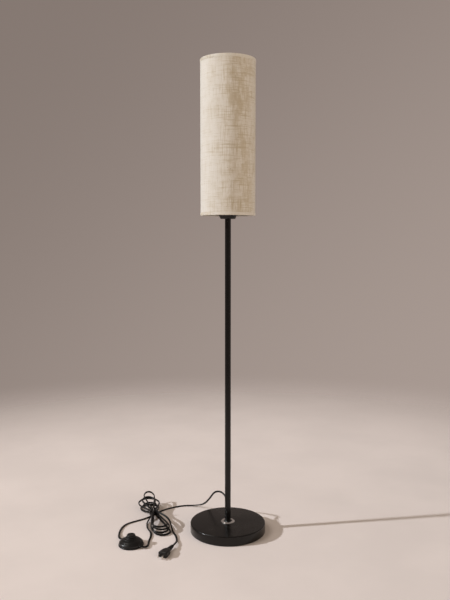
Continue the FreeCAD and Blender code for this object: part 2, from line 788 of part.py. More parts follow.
def make_bulb_housing():
    z0 = bulb_z0 + BULB_TIP_HEIGHT + BULB_CAP_LENGTH
    r = BULB_CAP_DIAMETER / 2
    top = BULB_HOUSING_TOP_DIAMETER / 2
    return turned([
        (0, z0),
        (r, z0),
        (r + 1.2, z0 + 6.0, 12.0),
        (top, z0 + BULB_HOUSING_LENGTH, 0.6),
        (top - 2.0, z0 + BULB_HOUSING_LENGTH),
        (0, z0 + BULB_HOUSING_LENGTH),
    ])


def make_bulb_globe():
    """Frosted dome: a spherical shell, cut flat where it seats in the housing."""
    seat_z = bulb_z0 + BULB_TIP_HEIGHT + BULB_CAP_LENGTH + BULB_HOUSING_LENGTH
    r = BULB_DIAMETER / 2
    centre = Vec(0, 0, bulb_z0 + BULB_LENGTH - r)
    shell = Part.makeSphere(r, centre).cut(Part.makeSphere(r - BULB_GLASS_THICKNESS, centre))
    return shell.cut(cylinder(r + 5, seat_z - 60, seat_z))


# ============================================================== foot switch
switch_r = SWITCH_DIAMETER / 2
body_r = SWITCH_BODY_DIAMETER / 2
button_r = BUTTON_DIAMETER / 2
button_hole_r = button_r + BUTTON_CLEARANCE
lip_r = button_r + BUTTON_LIP
lip_top = SWITCH_COLLAR_TOP - SWITCH_WALL - 0.6 - SLIP
lip_z0 = lip_top - BUTTON_LIP_THICKNESS
spring_z0 = SWITCH_FLANGE_TOP + SPRING_SEAT_HEIGHT
spring_z1 = lip_z0 + BUTTON_POCKET_DEPTH
screw_circle_r = SCREW_CIRCLE_DIAMETER / 2
screw_head_z0 = SWITCH_FLANGE_LIFT + 0.4
bushing_end = switch_r + SWITCH_BUSHING_REACH
contact_ring_z0 = lip_z0 - CONTACT_SHEET


def on_switch(shape):
    return moved(shape, SWITCH_X, SWITCH_Y, 0, SWITCH_AXIS_DEG)


def screw_places():
    places = []
    for i in range(SCREW_COUNT):
        angle = math.radians(90 + 360.0 * i / SCREW_COUNT)
        places.append((screw_circle_r * math.cos(angle), screw_circle_r * math.sin(angle)))
    return places


def make_switch_base():
    plate = turned([
        (0, SWITCH_FLANGE_LIFT),
        (switch_r, SWITCH_FLANGE_LIFT, SWITCH_FLANGE_EDGE),
        (switch_r, SWITCH_FLANGE_TOP, SWITCH_FLANGE_EDGE),
        (SPRING_DIAMETER / 2 + 1.6, SWITCH_FLANGE_TOP),
        (SPRING_DIAMETER / 2 + 1.6, spring_z0),
        (SPRING_GUIDE_DIAMETER / 2, spring_z0),
        (SPRING_GUIDE_DIAMETER / 2, spring_z0 + SPRING_GUIDE_HEIGHT, 0.8),
        (0, spring_z0 + SPRING_GUIDE_HEIGHT),
    ])
    recess = tube(SWITCH_PAD_OUTER / 2, SWITCH_PAD_INNER / 2, SWITCH_FLANGE_LIFT - 1,
                  SWITCH_FLANGE_LIFT + SWITCH_PAD_RECESS)
    cuts = [recess]
    for x, y in screw_places():
        cuts.append(cylinder(SCREW_HEAD_DIAMETER / 2 + SLIP, SWITCH_FLANGE_LIFT - 1,
                             screw_head_z0 + SCREW_HEAD_HEIGHT, x, y))
        cuts.append(cylinder(SCREW_SHANK_DIAMETER / 2 + FIT, SWITCH_FLANGE_LIFT, SWITCH_FLANGE_TOP + 1, x, y))
    return on_switch(plate.cut(cuts))


def dome_section():
    """Half section of the cover: side wall, ridged dome, step, collar and button hole."""
    wall = SWITCH_WALL
    ridge_r = SWITCH_RIDGE_DIAMETER / 2
    ridge_top = SWITCH_RIDGE_HEIGHT + SWITCH_RIDGE_RISE
    step_r = SWITCH_STEP_DIAMETER / 2
    step_top = SWITCH_STEP_HEIGHT + SWITCH_STEP_RISE
    collar_r = SWITCH_COLLAR_DIAMETER / 2
    collar_foot = step_top + 0.9
    collar_bevel = 0.6
    ledge = lip_top + SLIP
    bore_r = lip_r + BUTTON_CLEARANCE
    side = (body_r, SWITCH_SIDE_HEIGHT)
    inner_side = (body_r - wall, SWITCH_SIDE_HEIGHT - 0.8)
    inner_top = (step_r - 1.0, SWITCH_STEP_HEIGHT - wall)
    path = [
        (inner_side[0], SWITCH_FLANGE_TOP),
        (body_r, SWITCH_FLANGE_TOP),
        side,
        (ridge_r, SWITCH_RIDGE_HEIGHT, SWITCH_DOME_BULGE),
        (ridge_r - 0.4, ridge_top),
        (step_r, SWITCH_STEP_HEIGHT, SWITCH_DOME_BULGE),
        (step_r - 0.5, step_top),
        (collar_r, collar_foot),
        (collar_r - collar_bevel, SWITCH_COLLAR_TOP - collar_bevel),
        (collar_r - 2 * collar_bevel, SWITCH_COLLAR_TOP),
        (button_hole_r, SWITCH_COLLAR_TOP),
        (button_hole_r, ledge),
        (bore_r, ledge),
        (bore_r, SWITCH_STEP_HEIGHT - 0.2),
        inner_top,
        (*inner_side, -SWITCH_DOME_BULGE),
        (inner_side[0], SWITCH_FLANGE_TOP),
    ]
    edges = []
    for before, after in zip(path, path[1:]):
        start = Vec(before[0], 0, before[1])
        end = Vec(after[0], 0, after[1])
        if len(after) == 2:
            edges.append(Part.LineSegment(start, end).toShape())
            continue
        chord = end - start
        outward = Vec(chord.z, 0, -chord.x).normalize()
        middle = (start + end) * 0.5 + outward * after[2]
        edges.append(Part.Arc(start, middle, end).toShape())
    return Part.Face(Part.Wire(edges))


def make_switch_cover():
    shell = dome_section().revolve(Vec(0, 0, 0), UP, 360)
    inside = cylinder(body_r - 1.0, SWITCH_FLANGE_TOP, SWITCH_FLANGE_TOP + SCREW_LENGTH - 1.0)
    bosses = [cylinder(SCREW_BOSS_DIAMETER / 2, SWITCH_FLANGE_TOP, SWITCH_FLANGE_TOP + SCREW_LENGTH - 1.0, x, y)
              for x, y in screw_places()]
    shell = shell.fuse([boss.common(inside) for boss in bosses])
    cuts = [cylinder(SCREW_SHANK_DIAMETER / 2 + FIT, SWITCH_FLANGE_TOP - 1,
                     SWITCH_FLANGE_TOP + SCREW_LENGTH - 2.0, x, y) for x, y in screw_places()]
    for side in (0, 180):
        hole = Part.makeCylinder(SWITCH_BUSHING_DIAMETER / 2 + FIT, switch_r, Vec(body_r - 8, 0, SWITCH_CORD_HEIGHT),
                                 Vec(1, 0, 0))
        notch = box(body_r - 8, switch_r + 5, -SWITCH_BUSHING_DIAMETER / 2 - FIT,
                    SWITCH_BUSHING_DIAMETER / 2 + FIT, SWITCH_FLANGE_TOP - 1, SWITCH_CORD_HEIGHT)
        cuts.append(moved(hole, 0, 0, 0, side))
        cuts.append(moved(notch, 0, 0, 0, side))
    return on_switch(shell.cut(cuts).removeSplitter())


def make_switch_bushings():
    """Moulded collars on the cord, held in notches in the cover wall."""
    pieces = []
    r = SWITCH_BUSHING_DIAMETER / 2
    z = SWITCH_CORD_HEIGHT
    root = body_r - SWITCH_WALL - 2.6
    for side in (0, 180):
        collar = turned_along_x([
            (root, 0),
            (root, r),
            (body_r + 0.6, r, 0.2),
            (bushing_end, CORD_RADIUS + 0.6),
            (bushing_end, 0),
        ])
        collar.translate(Vec(0, 0, z))
        keep = box(0, 60, -20, 20, SWITCH_FLANGE_TOP, 40)
        pieces.append(on_switch(moved(collar.common(keep), 0, 0, 0, side)))
    return Part.makeCompound(pieces)


def make_switch_button():
    cap = turned([
        (0, lip_z0),
        (lip_r, lip_z0),
        (lip_r, lip_top),
        (button_r, lip_top),
        (button_r, BUTTON_TOP, BUTTON_EDGE_RADIUS),
        (button_r - 5.0, BUTTON_TOP, 1.0),
        (button_r - 7.0, BUTTON_TOP - BUTTON_DISH_DEPTH, 1.0),
        (0, BUTTON_TOP - BUTTON_DISH_DEPTH),
    ])
    pocket = tube(BUTTON_POCKET_DIAMETER / 2, BUTTON_POST_DIAMETER / 2, lip_z0 - 1, spring_z1)
    return on_switch(cap.cut(pocket))


def make_switch_contact_ring():
    """Moving contact: a ring under the button's lip."""
    ring = tube(lip_r - 0.4, BUTTON_POCKET_DIAMETER / 2, contact_ring_z0, lip_z0)
    return on_switch(ring)


def make_switch_contacts():
    """Fixed contacts: two posts whose heads the ring bridges when the button is down."""
    head_z = contact_ring_z0 - BUTTON_TRAVEL - CONTACT_GAP_CLOSED
    middle_r = (lip_r - 0.4 + BUTTON_POCKET_DIAMETER / 2) / 2
    half = CONTACT_POST_WIDTH / 2
    pieces = []
    for side in (-1, 1):
        y = side * middle_r
        lo = min(y, y + side * CONTACT_POST_THICKNESS)
        post = box(-half, half, lo, lo + CONTACT_POST_THICKNESS, SWITCH_FLANGE_TOP, head_z - 0.6)
        head = cylinder(1.5, head_z - 0.8, head_z, 0, y + side * CONTACT_POST_THICKNESS / 2)
        foot_a = y
        foot_b = y + side * 9.0
        foot = box(-half, half, min(foot_a, foot_b), max(foot_a, foot_b), SWITCH_FLANGE_TOP, SWITCH_FLANGE_TOP + 1.0)
        screw = cylinder(1.7, SWITCH_FLANGE_TOP + 0.8, SWITCH_FLANGE_TOP + 2.6, 0, y + side * 5.8)
        pieces.append(on_switch(post.fuse([head, foot, screw]).removeSplitter()))
    return Part.makeCompound(pieces)


def make_switch_spring():
    """Compression spring of the button, drawn as biarcs of a third of a turn."""
    r = (SPRING_DIAMETER - SPRING_WIRE) / 2
    low = spring_z0 + SPRING_WIRE / 2
    high = spring_z1 - SPRING_WIRE / 2
    pieces = 3
    steps = SPRING_TURNS * pieces
    turn = 2 * math.pi / pieces
    rise = (high - low) / steps
    slope = rise / (turn * r)
    edges = []
    for i in range(steps):
        ends = []
        for k in (i, i + 1):
            angle = turn * k
            place = Vec(r * math.cos(angle), r * math.sin(angle), low + rise * k)
            heading = Vec(-math.sin(angle), math.cos(angle), slope).normalize()
            ends += [place, heading]
        edges += biarc_edges(*ends)
    return on_switch(sweep(edges, SPRING_WIRE / 2))


def make_switch_screws():
    pieces = []
    for x, y in screw_places():
        head = cylinder(SCREW_HEAD_DIAMETER / 2, screw_head_z0, screw_head_z0 + SCREW_HEAD_HEIGHT, x, y)
        shank = cylinder(SCREW_SHANK_DIAMETER / 2, screw_head_z0 + SCREW_HEAD_HEIGHT,
                         screw_head_z0 + SCREW_LENGTH, x, y)
        slot = box(x - 2.2, x + 2.2, y - 0.4, y + 0.4, screw_head_z0 - 1, screw_head_z0 + 0.7)
        pieces.append(on_switch(head.fuse(shank).cut(slot).removeSplitter()))
    return Part.makeCompound(pieces)


def make_switch_pad():
    return on_switch(tube(SWITCH_PAD_OUTER / 2 - FIT, SWITCH_PAD_INNER / 2 + FIT, 0,
                          SWITCH_FLANGE_LIFT + SWITCH_PAD_RECESS))


# ===================================================================== plug
plug_z = PLUG_THICKNESS / 2


def on_plug(shape):
    return moved(shape, PLUG_TAIL_X, PLUG_TAIL_Y, plug_z, PLUG_HEADING_DEG)


def plug_section(x, width, height, rounding):
    """Rounded rectangle across the plug's axis."""
    half_w = width / 2
    half_h = height / 2
    wire = rounded_outline([
        (-half_w, -half_h, rounding),
        (half_w, -half_h, rounding),
        (half_w, half_h, rounding),
        (-half_w, half_h, rounding),
    ])
    wire.rotate(Vec(0, 0, 0), UP, 90)
    wire.translate(Vec(x, 0, 0))
    return wire


def make_plug_body():
    """Moulded plug: a flared, ribbed strain relief that runs into a waisted grip."""
    relief = PLUG_RELIEF_LENGTH
    tip_r = PLUG_RELIEF_TIP_DIAMETER / 2
    root_r = PLUG_RELIEF_ROOT_DIAMETER / 2
    corners = [(0, 0), (0, tip_r)]
    pitch = relief / PLUG_RELIEF_RIBS
    for i in range(PLUG_RELIEF_RIBS):
        r = tip_r + (root_r - tip_r) * (i + 0.5) / PLUG_RELIEF_RIBS
        start = pitch * i
        corners += [
            (start + 0.10 * pitch, r + PLUG_RIB_HEIGHT),
            (start + 0.62 * pitch, r + PLUG_RIB_HEIGHT),
            (start + 0.74 * pitch, r),
            (start + 0.98 * pitch, r),
        ]
    corners += [(relief + 2.0, root_r), (relief + 2.0, 0)]
    boot = turned_along_x(corners)
    w = PLUG_WIDTH
    t = PLUG_THICKNESS
    end = relief + PLUG_BODY_LENGTH
    stations = [
        (relief, 0.52 * w, 0.80 * t, 0.34 * t),
        (relief + 0.30 * PLUG_BODY_LENGTH, 0.86 * w, 0.94 * t, PLUG_CORNER_RADIUS),
        (relief + 0.62 * PLUG_BODY_LENGTH, 0.94 * w, t, PLUG_CORNER_RADIUS),
        (end - 2.0, w, t, PLUG_CORNER_RADIUS),
        (end, w - 3.0, t - 2.4, PLUG_CORNER_RADIUS - 1.2),
    ]
    grip = Part.makeLoft([plug_section(*s) for s in stations], True, True)
    grooves = []
    for i in range(3):
        x = relief + (0.36 + 0.14 * i) * PLUG_BODY_LENGTH
        for side in (-1, 1):
            y = side * (0.47 * w + 0.4)
            grooves.append(box(x - 0.9, x + 0.9, y - 1.0, y + 1.0, -0.30 * t, 0.30 * t))
    slots = [blade_blank(side, FIT) for side in (-1, 1)]
    return on_plug(grip.fuse(boot).cut(grooves + slots).removeSplitter())


def blade_blank(side, grow=0.0):
    root = PLUG_RELIEF_LENGTH + PLUG_BODY_LENGTH
    y = side * BLADE_SPACING / 2
    half_t = BLADE_THICKNESS / 2 + grow
    half_w = BLADE_WIDTH / 2 + grow
    return box(root - BLADE_EMBED, root + BLADE_LENGTH, y - half_t, y + half_t, -half_w, half_w)


def make_plug_blades():
    pieces = []
    tip = PLUG_RELIEF_LENGTH + PLUG_BODY_LENGTH + BLADE_LENGTH
    bevel = BLADE_TIP_BEVEL
    half_w = BLADE_WIDTH / 2
    for side in (-1, 1):
        y = side * BLADE_SPACING / 2
        hole = Part.makeCylinder(BLADE_HOLE_DIAMETER / 2, 6, Vec(tip - BLADE_HOLE_FROM_TIP, y - 3, 0), Vec(0, 1, 0))
        corners = []
        for up in (-1, 1):
            ring = [Vec(tip - bevel, y - 2, up * half_w), Vec(tip + 1, y - 2, up * half_w),
                    Vec(tip + 1, y - 2, up * (half_w - bevel - 1))]
            corners.append(Part.Face(Part.makePolygon(ring + ring[:1])).extrude(Vec(0, 4, 0)))
        pieces.append(on_plug(blade_blank(side).cut([hole] + corners)))
    return Part.makeCompound(pieces)


# ===================================================================== hank
hank_heading = math.radians(HANK_HEADING_DEG)
hank_along = Vec(math.cos(hank_heading), math.sin(hank_heading), 0)
hank_across = Vec(math.sin(hank_heading), -math.cos(hank_heading), 0)
hank_waist = Vec(HANK_WAIST_X, HANK_WAIST_Y, 0)


def hank_place(along, across, z):
    return hank_waist + hank_along * along + hank_across * across + UP * z


def hank_heading_of(along, across, climb=0.0):
    return (hank_along * along + hank_across * across + UP * climb).normalize()


def waist_column(loop):
    return HANK_OUTER_COLUMN if loop in (0, 2) else HANK_INNER_COLUMN


def waist_height(loop):
    last = HANK_UPPER_LOOPS - 1
    row = HANK_TOP_ROW if loop == last else loop
    return HANK_WAIST_HEIGHT + HANK_WAIST_ROW * row


def loop_height(loop):
    return CORD_RADIUS + 0.2 + HANK_LAYER * loop


def hank_stations():
    """Directed points of the hank: each loop climbs one layer and is drawn in at the waist."""
    stations = [(hank_place(*HANK_ENTRY, CORD_RADIUS), hank_heading_of(1.0, 0.12))]
    for loop in range(HANK_UPPER_LOOPS):
        column = waist_column(loop)
        height = waist_height(loop)
        half = UPPER_HALF_WIDTH[loop]
        reach = UPPER_REACH[loop]
        lean = math.radians(UPPER_LEAN_DEG[loop])
        crown = loop_height(loop) + UPPER_RISE[loop]
        shoulder = loop_height(loop) + UPPER_RISE[loop] / 2

        def leaned(along, across):
            return (along * math.cos(lean) - across * math.sin(lean),
                    along * math.sin(lean) + across * math.cos(lean))

        stations.append((hank_place(0, -column, height), hank_heading_of(1, 0)))
        for place, heading, z in (((reach - half, -half), (1, 0), shoulder),
                                  ((reach, 0), (0, 1), crown),
                                  ((reach - half, half), (-1, 0), shoulder)):
            stations.append((hank_place(*leaned(*place), z), hank_heading_of(*leaned(*heading))))
        stations.append((hank_place(0, column, height), hank_heading_of(-1, 0)))
        if loop < HANK_UPPER_LOOPS - 1:
            half = LOWER_HALF_WIDTH[loop]
            reach = LOWER_REACH[loop]
            shift = LOWER_SHIFT[loop]
            z = loop_height(loop)
            stations += [
                (hank_place(half - reach, half + shift, z), hank_heading_of(-1, 0)),
                (hank_place(-reach, shift, z + HANK_LAYER * 0.25), hank_heading_of(0, -1)),
                (hank_place(half - reach, shift - half, z + HANK_LAYER * 0.5), hank_heading_of(1, 0)),
            ]
    stations.append((hank_place(*HANK_EXIT_SIDE), hank_heading_of(-1.0, 0.03, -0.2)))
    stations.append((hank_place(*HANK_EXIT, CORD_RADIUS), hank_heading_of(-1.0, 0.08)))
    return stations


def make_hank():
    stations = hank_stations()
    first_place, first_heading = stations[0]
    last_place, last_heading = stations[-1]
    edges = [Part.LineSegment(first_place - first_heading * HANK_TAIL, first_place).toShape()]
    for (start, start_dir), (end, end_dir) in zip(stations, stations[1:]):
        edges += biarc_edges(start, start_dir, end, end_dir)
    edges.append(Part.LineSegment(last_place, last_place + last_heading * HANK_TAIL).toShape())
    length = sum(edge.Length for edge in edges)
    solid = sweep(edges, CORD_RADIUS)
    curved = [edge.Curve.Radius for edge in edges if hasattr(edge.Curve, "Radius")]
    print("hank length %.0f mm, tightest bend %.1f mm" % (length, min(curved)))
    print("hank least gap to itself %.2f mm" % least_gap_to_itself(edges, CORD_RADIUS))
    print("hank volume ratio %.4f" % (solid.Volume / (math.pi * CORD_RADIUS ** 2 * length)))
    return solid


def make_hank_tie():
    """Flat wire tie round the waist, with its two ends twisted together on top."""
    outer = HANK_OUTER_COLUMN
    inner = HANK_INNER_COLUMN
    low = waist_height(0)
    mid = waist_height(2)
    top = waist_height(HANK_UPPER_LOOPS - 1)
    pegs = [(-outer, low), (outer, low), (outer, mid), (inner, top), (-inner, top), (-outer, mid)]
    spine = Part.makePolygon([Vec(0, a, b) for a, b in pegs + pegs[:1]])
    inside = spine.makeOffset2D(CORD_RADIUS + TIE_GAP)
    outside = spine.makeOffset2D(CORD_RADIUS + TIE_GAP + TIE_THICKNESS)
    band = Part.Face(outside).extrude(Vec(TIE_WIDTH, 0, 0)).cut(Part.Face(inside).extrude(Vec(TIE_WIDTH, 0, 0)))
    band.translate(Vec(-TIE_WIDTH / 2, 0, 0))
    root_z = top + CORD_RADIUS + TIE_GAP + TIE_THICKNESS / 2
    tails = []
    for side in (-1, 1):
        tails.append(sweep(route_edges([
            (0, side * 0.8, root_z),
            (0, side * 0.8, root_z + 3.5),
            (side * 1.5, side * 4.5, root_z + 0.45 * TIE_TAIL_LENGTH),
            (side * 3.0, side * 8.5, root_z + 0.50 * TIE_TAIL_LENGTH),
        ]), TIE_THICKNESS))
    whole = band.fuse(tails).removeSplitter()
    return moved(whole, HANK_WAIST_X, HANK_WAIST_Y, 0, HANK_HEADING_DEG)


# ============================================================== cord routes
def switch_port(direction):
    """Centre and heading of the cord where it meets a bushing of the foot switch."""
    angle = math.radians(SWITCH_AXIS_DEG)
    return (SWITCH_X + direction * bushing_end * math.cos(angle),
            SWITCH_Y + direction * bushing_end * math.sin(angle),
            SWITCH_CORD_HEIGHT)


def before_port(direction, distance):
    """Point on the axis of a bushing, a little way outside it."""
    angle = math.radians(SWITCH_AXIS_DEG)
    x, y, z = switch_port(direction)
    return (x + direction * distance * math.cos(angle), y + direction * distance * math.sin(angle), z)


def lead_to_switch():
    """From the sleeve on the pole, over an arch, along the floor and into the foot switch."""
    floor = CORD_RADIUS
    return [
        (0, sleeve_end_y, OUTLET_HEIGHT),
        (0, sleeve_end_y + 12, OUTLET_HEIGHT),
        (-6, 62, 90),
        (-23, 84, 96.5),
        (-42, 105, 86),
        (-58, 134, 52),
        (-78, 168, 18),
        (-108, 194, 4),
        (-146, 198, floor),
        (-182, 182, floor),
        (-218, 154, floor),
        (-241, 117, floor),
        (-266, 86, floor),
        (-299, 63, floor),
        (-321, 43.5, floor),
        (-330, 15, floor),
        (-331.8, -14, floor),
        (-330.3, -38, floor + 0.9),
        (-327.8, -57, 5.6),
        before_port(-1, 11.5),
        switch_port(-1),
    ]


def lead_to_hank():
    """From the foot switch, round a tight bend and up to the hank."""
    floor = CORD_RADIUS
    start, heading = hank_stations()[0]
    end = start - heading * HANK_TAIL
    before = end - heading * 22
    return [
        switch_port(1),
        before_port(1, 9.5),
        (-237.0, -130.4, 5.0),
        (-230.4, -121.8, 3.4),
        (-232.0, -106.5, floor),
        (-238, -82, floor),
        (-231.5, -50, floor),
        (-236, -16, floor),
        (before.x, before.y, before.z),
        (end.x, end.y, end.z),
    ]


def lead_to_plug():
    """From the hank to the strain relief of the plug."""
    floor = CORD_RADIUS
    place, heading = hank_stations()[-1]
    start = place + heading * HANK_TAIL
    after = start + heading * 17
    angle = math.radians(PLUG_HEADING_DEG)
    return [
        (start.x, start.y, start.z),
        (after.x, after.y, after.z),
        (-153.5, -63, floor),
        (-151.5, -87, floor + 2.4),
        (PLUG_TAIL_X - 17 * math.cos(angle), PLUG_TAIL_Y - 17 * math.sin(angle), plug_z),
        (PLUG_TAIL_X, PLUG_TAIL_Y, plug_z),
    ]


# ==================================================================== build
def build():
    os.makedirs("parts", exist_ok=True)
    save(make_base_cover(), "base_cover")
    save(make_base_weight(), "base_weight")
    save(cylinder(cover_inner_r - SLIP, plate_z0, plate_z1), "base_plate")
    save(make_base_pad(), "base_pad")
    save(make_base_bolt(), "base_bolt")
    save(tube(WASHER_DIAMETER / 2, bolt_hole_r, boss_z0 - WASHER_THICKNESS, boss_z0), "base_washer")
    save(make_foot_ring(), "foot_ring")
    save(make_foot_collar(), "foot_collar")
    save(make_pole_lower(), "pole_lower")
    save(make_pole_section(LOWER_JOINT_HEIGHT, UPPER_JOINT_HEIGHT), "pole_middle")
    save(make_pole_section(UPPER_JOINT_HEIGHT, POLE_TOP_HEIGHT), "pole_upper")
    save(make_pole_inserts(), "pole_inserts")
    save(make_pole_nipples(), "pole_nipples")
    save(make_cord_sleeve(), "cord_sleeve")
    save(make_inner_cord(), "inner_cord")
    save(make_socket_cup(), "socket_cup")
    save(make_cup_nut(), "cup_nut")
    save(make_socket_body(), "socket_body")
    save(make_socket_shell(), "socket_shell")
    save(make_socket_contact(), "socket_contact")
    save(make_socket_terminals(), "socket_terminals")
    save(make_shade_nut(), "shade_nut")
    save(make_shade_spider(), "shade_spider")
    save(wire_ring(bottom_ring_z), "shade_ring_bottom")
    save(wire_ring(top_ring_z), "shade_ring_top")
    save(tube(liner_r, liner_bore_r, shade_z0 + HEM_THICKNESS, shade_z1 - HEM_THICKNESS), "shade_liner")
    save(tube(fabric_r, liner_r, shade_z0 + HEM_THICKNESS, shade_z1 - HEM_THICKNESS), "shade_fabric")
    save(make_hem(shade_z0, 1), "shade_hem_bottom")
    save(make_hem(shade_z1, -1), "shade_hem_top")
    save(make_bulb_tip(), "bulb_tip")
    save(make_bulb_cap(), "bulb_cap")
    save(make_bulb_housing(), "bulb_housing")
    save(make_bulb_globe(), "bulb_globe")
    save(make_switch_base(), "switch_base")
    save(make_switch_cover(), "switch_cover")
    save(make_switch_button(), "switch_button")
    save(make_switch_contact_ring(), "switch_contact_ring")
    save(make_switch_contacts(), "switch_contacts")
    save(make_switch_spring(), "switch_spring")
    save(make_switch_screws(), "switch_screws")
    save(make_switch_pad(), "switch_pad")
    save(make_switch_bushings(), "switch_bushings")
    save(make_plug_body(), "plug_body")
    save(make_plug_blades(), "plug_blades")
    save(cord_tube(lead_to_switch(), "lead to switch"), "cord_to_switch")
    save(cord_tube(lead_to_hank(), "lead to hank"), "cord_to_hank")
    save(make_hank(), "cord_hank")
    save(cord_tube(lead_to_plug(), "lead to plug"), "cord_to_plug")
    save(make_hank_tie(), "hank_tie")


build()
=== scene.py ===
"""Column floor lamp: a linen column shade on a slim black pole, with a corded foot switch.

Sizes are in millimetres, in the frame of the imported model; meshes are written in metres.
"""

import logging
import math
from collections.abc import Iterable, Mapping, Sequence
from dataclasses import dataclass, field
from enum import Enum
from math import cos, pi, radians, sin
from typing import ClassVar

import bmesh
import bpy
from mathutils import Matrix, Vector, noise

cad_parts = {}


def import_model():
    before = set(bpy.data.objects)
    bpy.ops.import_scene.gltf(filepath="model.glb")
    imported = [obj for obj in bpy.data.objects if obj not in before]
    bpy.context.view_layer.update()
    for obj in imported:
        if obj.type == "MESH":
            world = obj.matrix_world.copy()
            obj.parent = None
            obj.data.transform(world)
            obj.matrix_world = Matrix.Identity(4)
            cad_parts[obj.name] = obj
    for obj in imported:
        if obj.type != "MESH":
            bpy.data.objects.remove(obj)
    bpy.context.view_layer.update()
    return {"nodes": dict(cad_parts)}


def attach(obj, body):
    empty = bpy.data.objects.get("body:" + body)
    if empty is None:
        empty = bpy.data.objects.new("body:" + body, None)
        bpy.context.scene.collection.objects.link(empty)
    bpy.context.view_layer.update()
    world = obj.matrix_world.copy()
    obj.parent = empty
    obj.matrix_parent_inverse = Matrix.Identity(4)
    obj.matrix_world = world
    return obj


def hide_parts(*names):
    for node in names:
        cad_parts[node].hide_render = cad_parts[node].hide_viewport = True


MM = 0.001
IMAGE_WIDTH = 450
IMAGE_HEIGHT = 600
SHARP_DEG = 32.0
WELD = 1e-5
ON_AXIS = 1e-6

log = logging.getLogger("floor_lamp")

Point = tuple[float, float, float]
Corner = tuple[float, float, float]
Colour = tuple[float, float, float]
Pair = tuple[float, float]
Settings = Mapping[str, object]
Piece = bpy.types.Object
Node = bpy.types.Node
Socket = bpy.types.NodeSocket
Build = bmesh.types.BMesh


class Body(Enum):
    """The bodies that a piece can ride on."""

    LAMP = "lamp"
    BUTTON = "button"


class FarEnd(Enum):
    """What a cord ends in."""

    FITTING = "fitting"
    PLUG = "plug"


# --- node trees
class Value:
    """A number in a node tree that can stand in an expression."""

    def __init__(self, tree: "Tree", socket: Socket) -> None:
        """Keep the output that carries the number, and the tree that new nodes go to."""
        self.tree = tree
        self.socket = socket

    def __add__(self, other: "Value | float") -> "Value":
        """Sum with a value or a number."""
        return self.tree.maths("ADD", self, other)

    def __sub__(self, other: "Value | float") -> "Value":
        """Difference with a value or a number."""
        return self.tree.maths("SUBTRACT", self, other)

    def __mul__(self, other: "Value | float") -> "Value":
        """Product with a value or a number."""
        return self.tree.maths("MULTIPLY", self, other)

    def __truediv__(self, other: "Value | float") -> "Value":
        """Quotient by a value or a number."""
        return self.tree.maths("DIVIDE", self, other)

    def __pow__(self, other: "Value | float") -> "Value":
        """Power of a value or a number."""
        return self.tree.maths("POWER", self, other)

    def __radd__(self, other: float) -> "Value":
        """Sum with a number on the left."""
        return self.tree.maths("ADD", other, self)

    def __rsub__(self, other: float) -> "Value":
        """Difference from a number on the left."""
        return self.tree.maths("SUBTRACT", other, self)

    def __rmul__(self, other: float) -> "Value":
        """Product with a number on the left."""
        return self.tree.maths("MULTIPLY", other, self)

    def __neg__(self) -> "Value":
        """The value with its sign changed."""
        return self.tree.maths("MULTIPLY", self, -1.0)


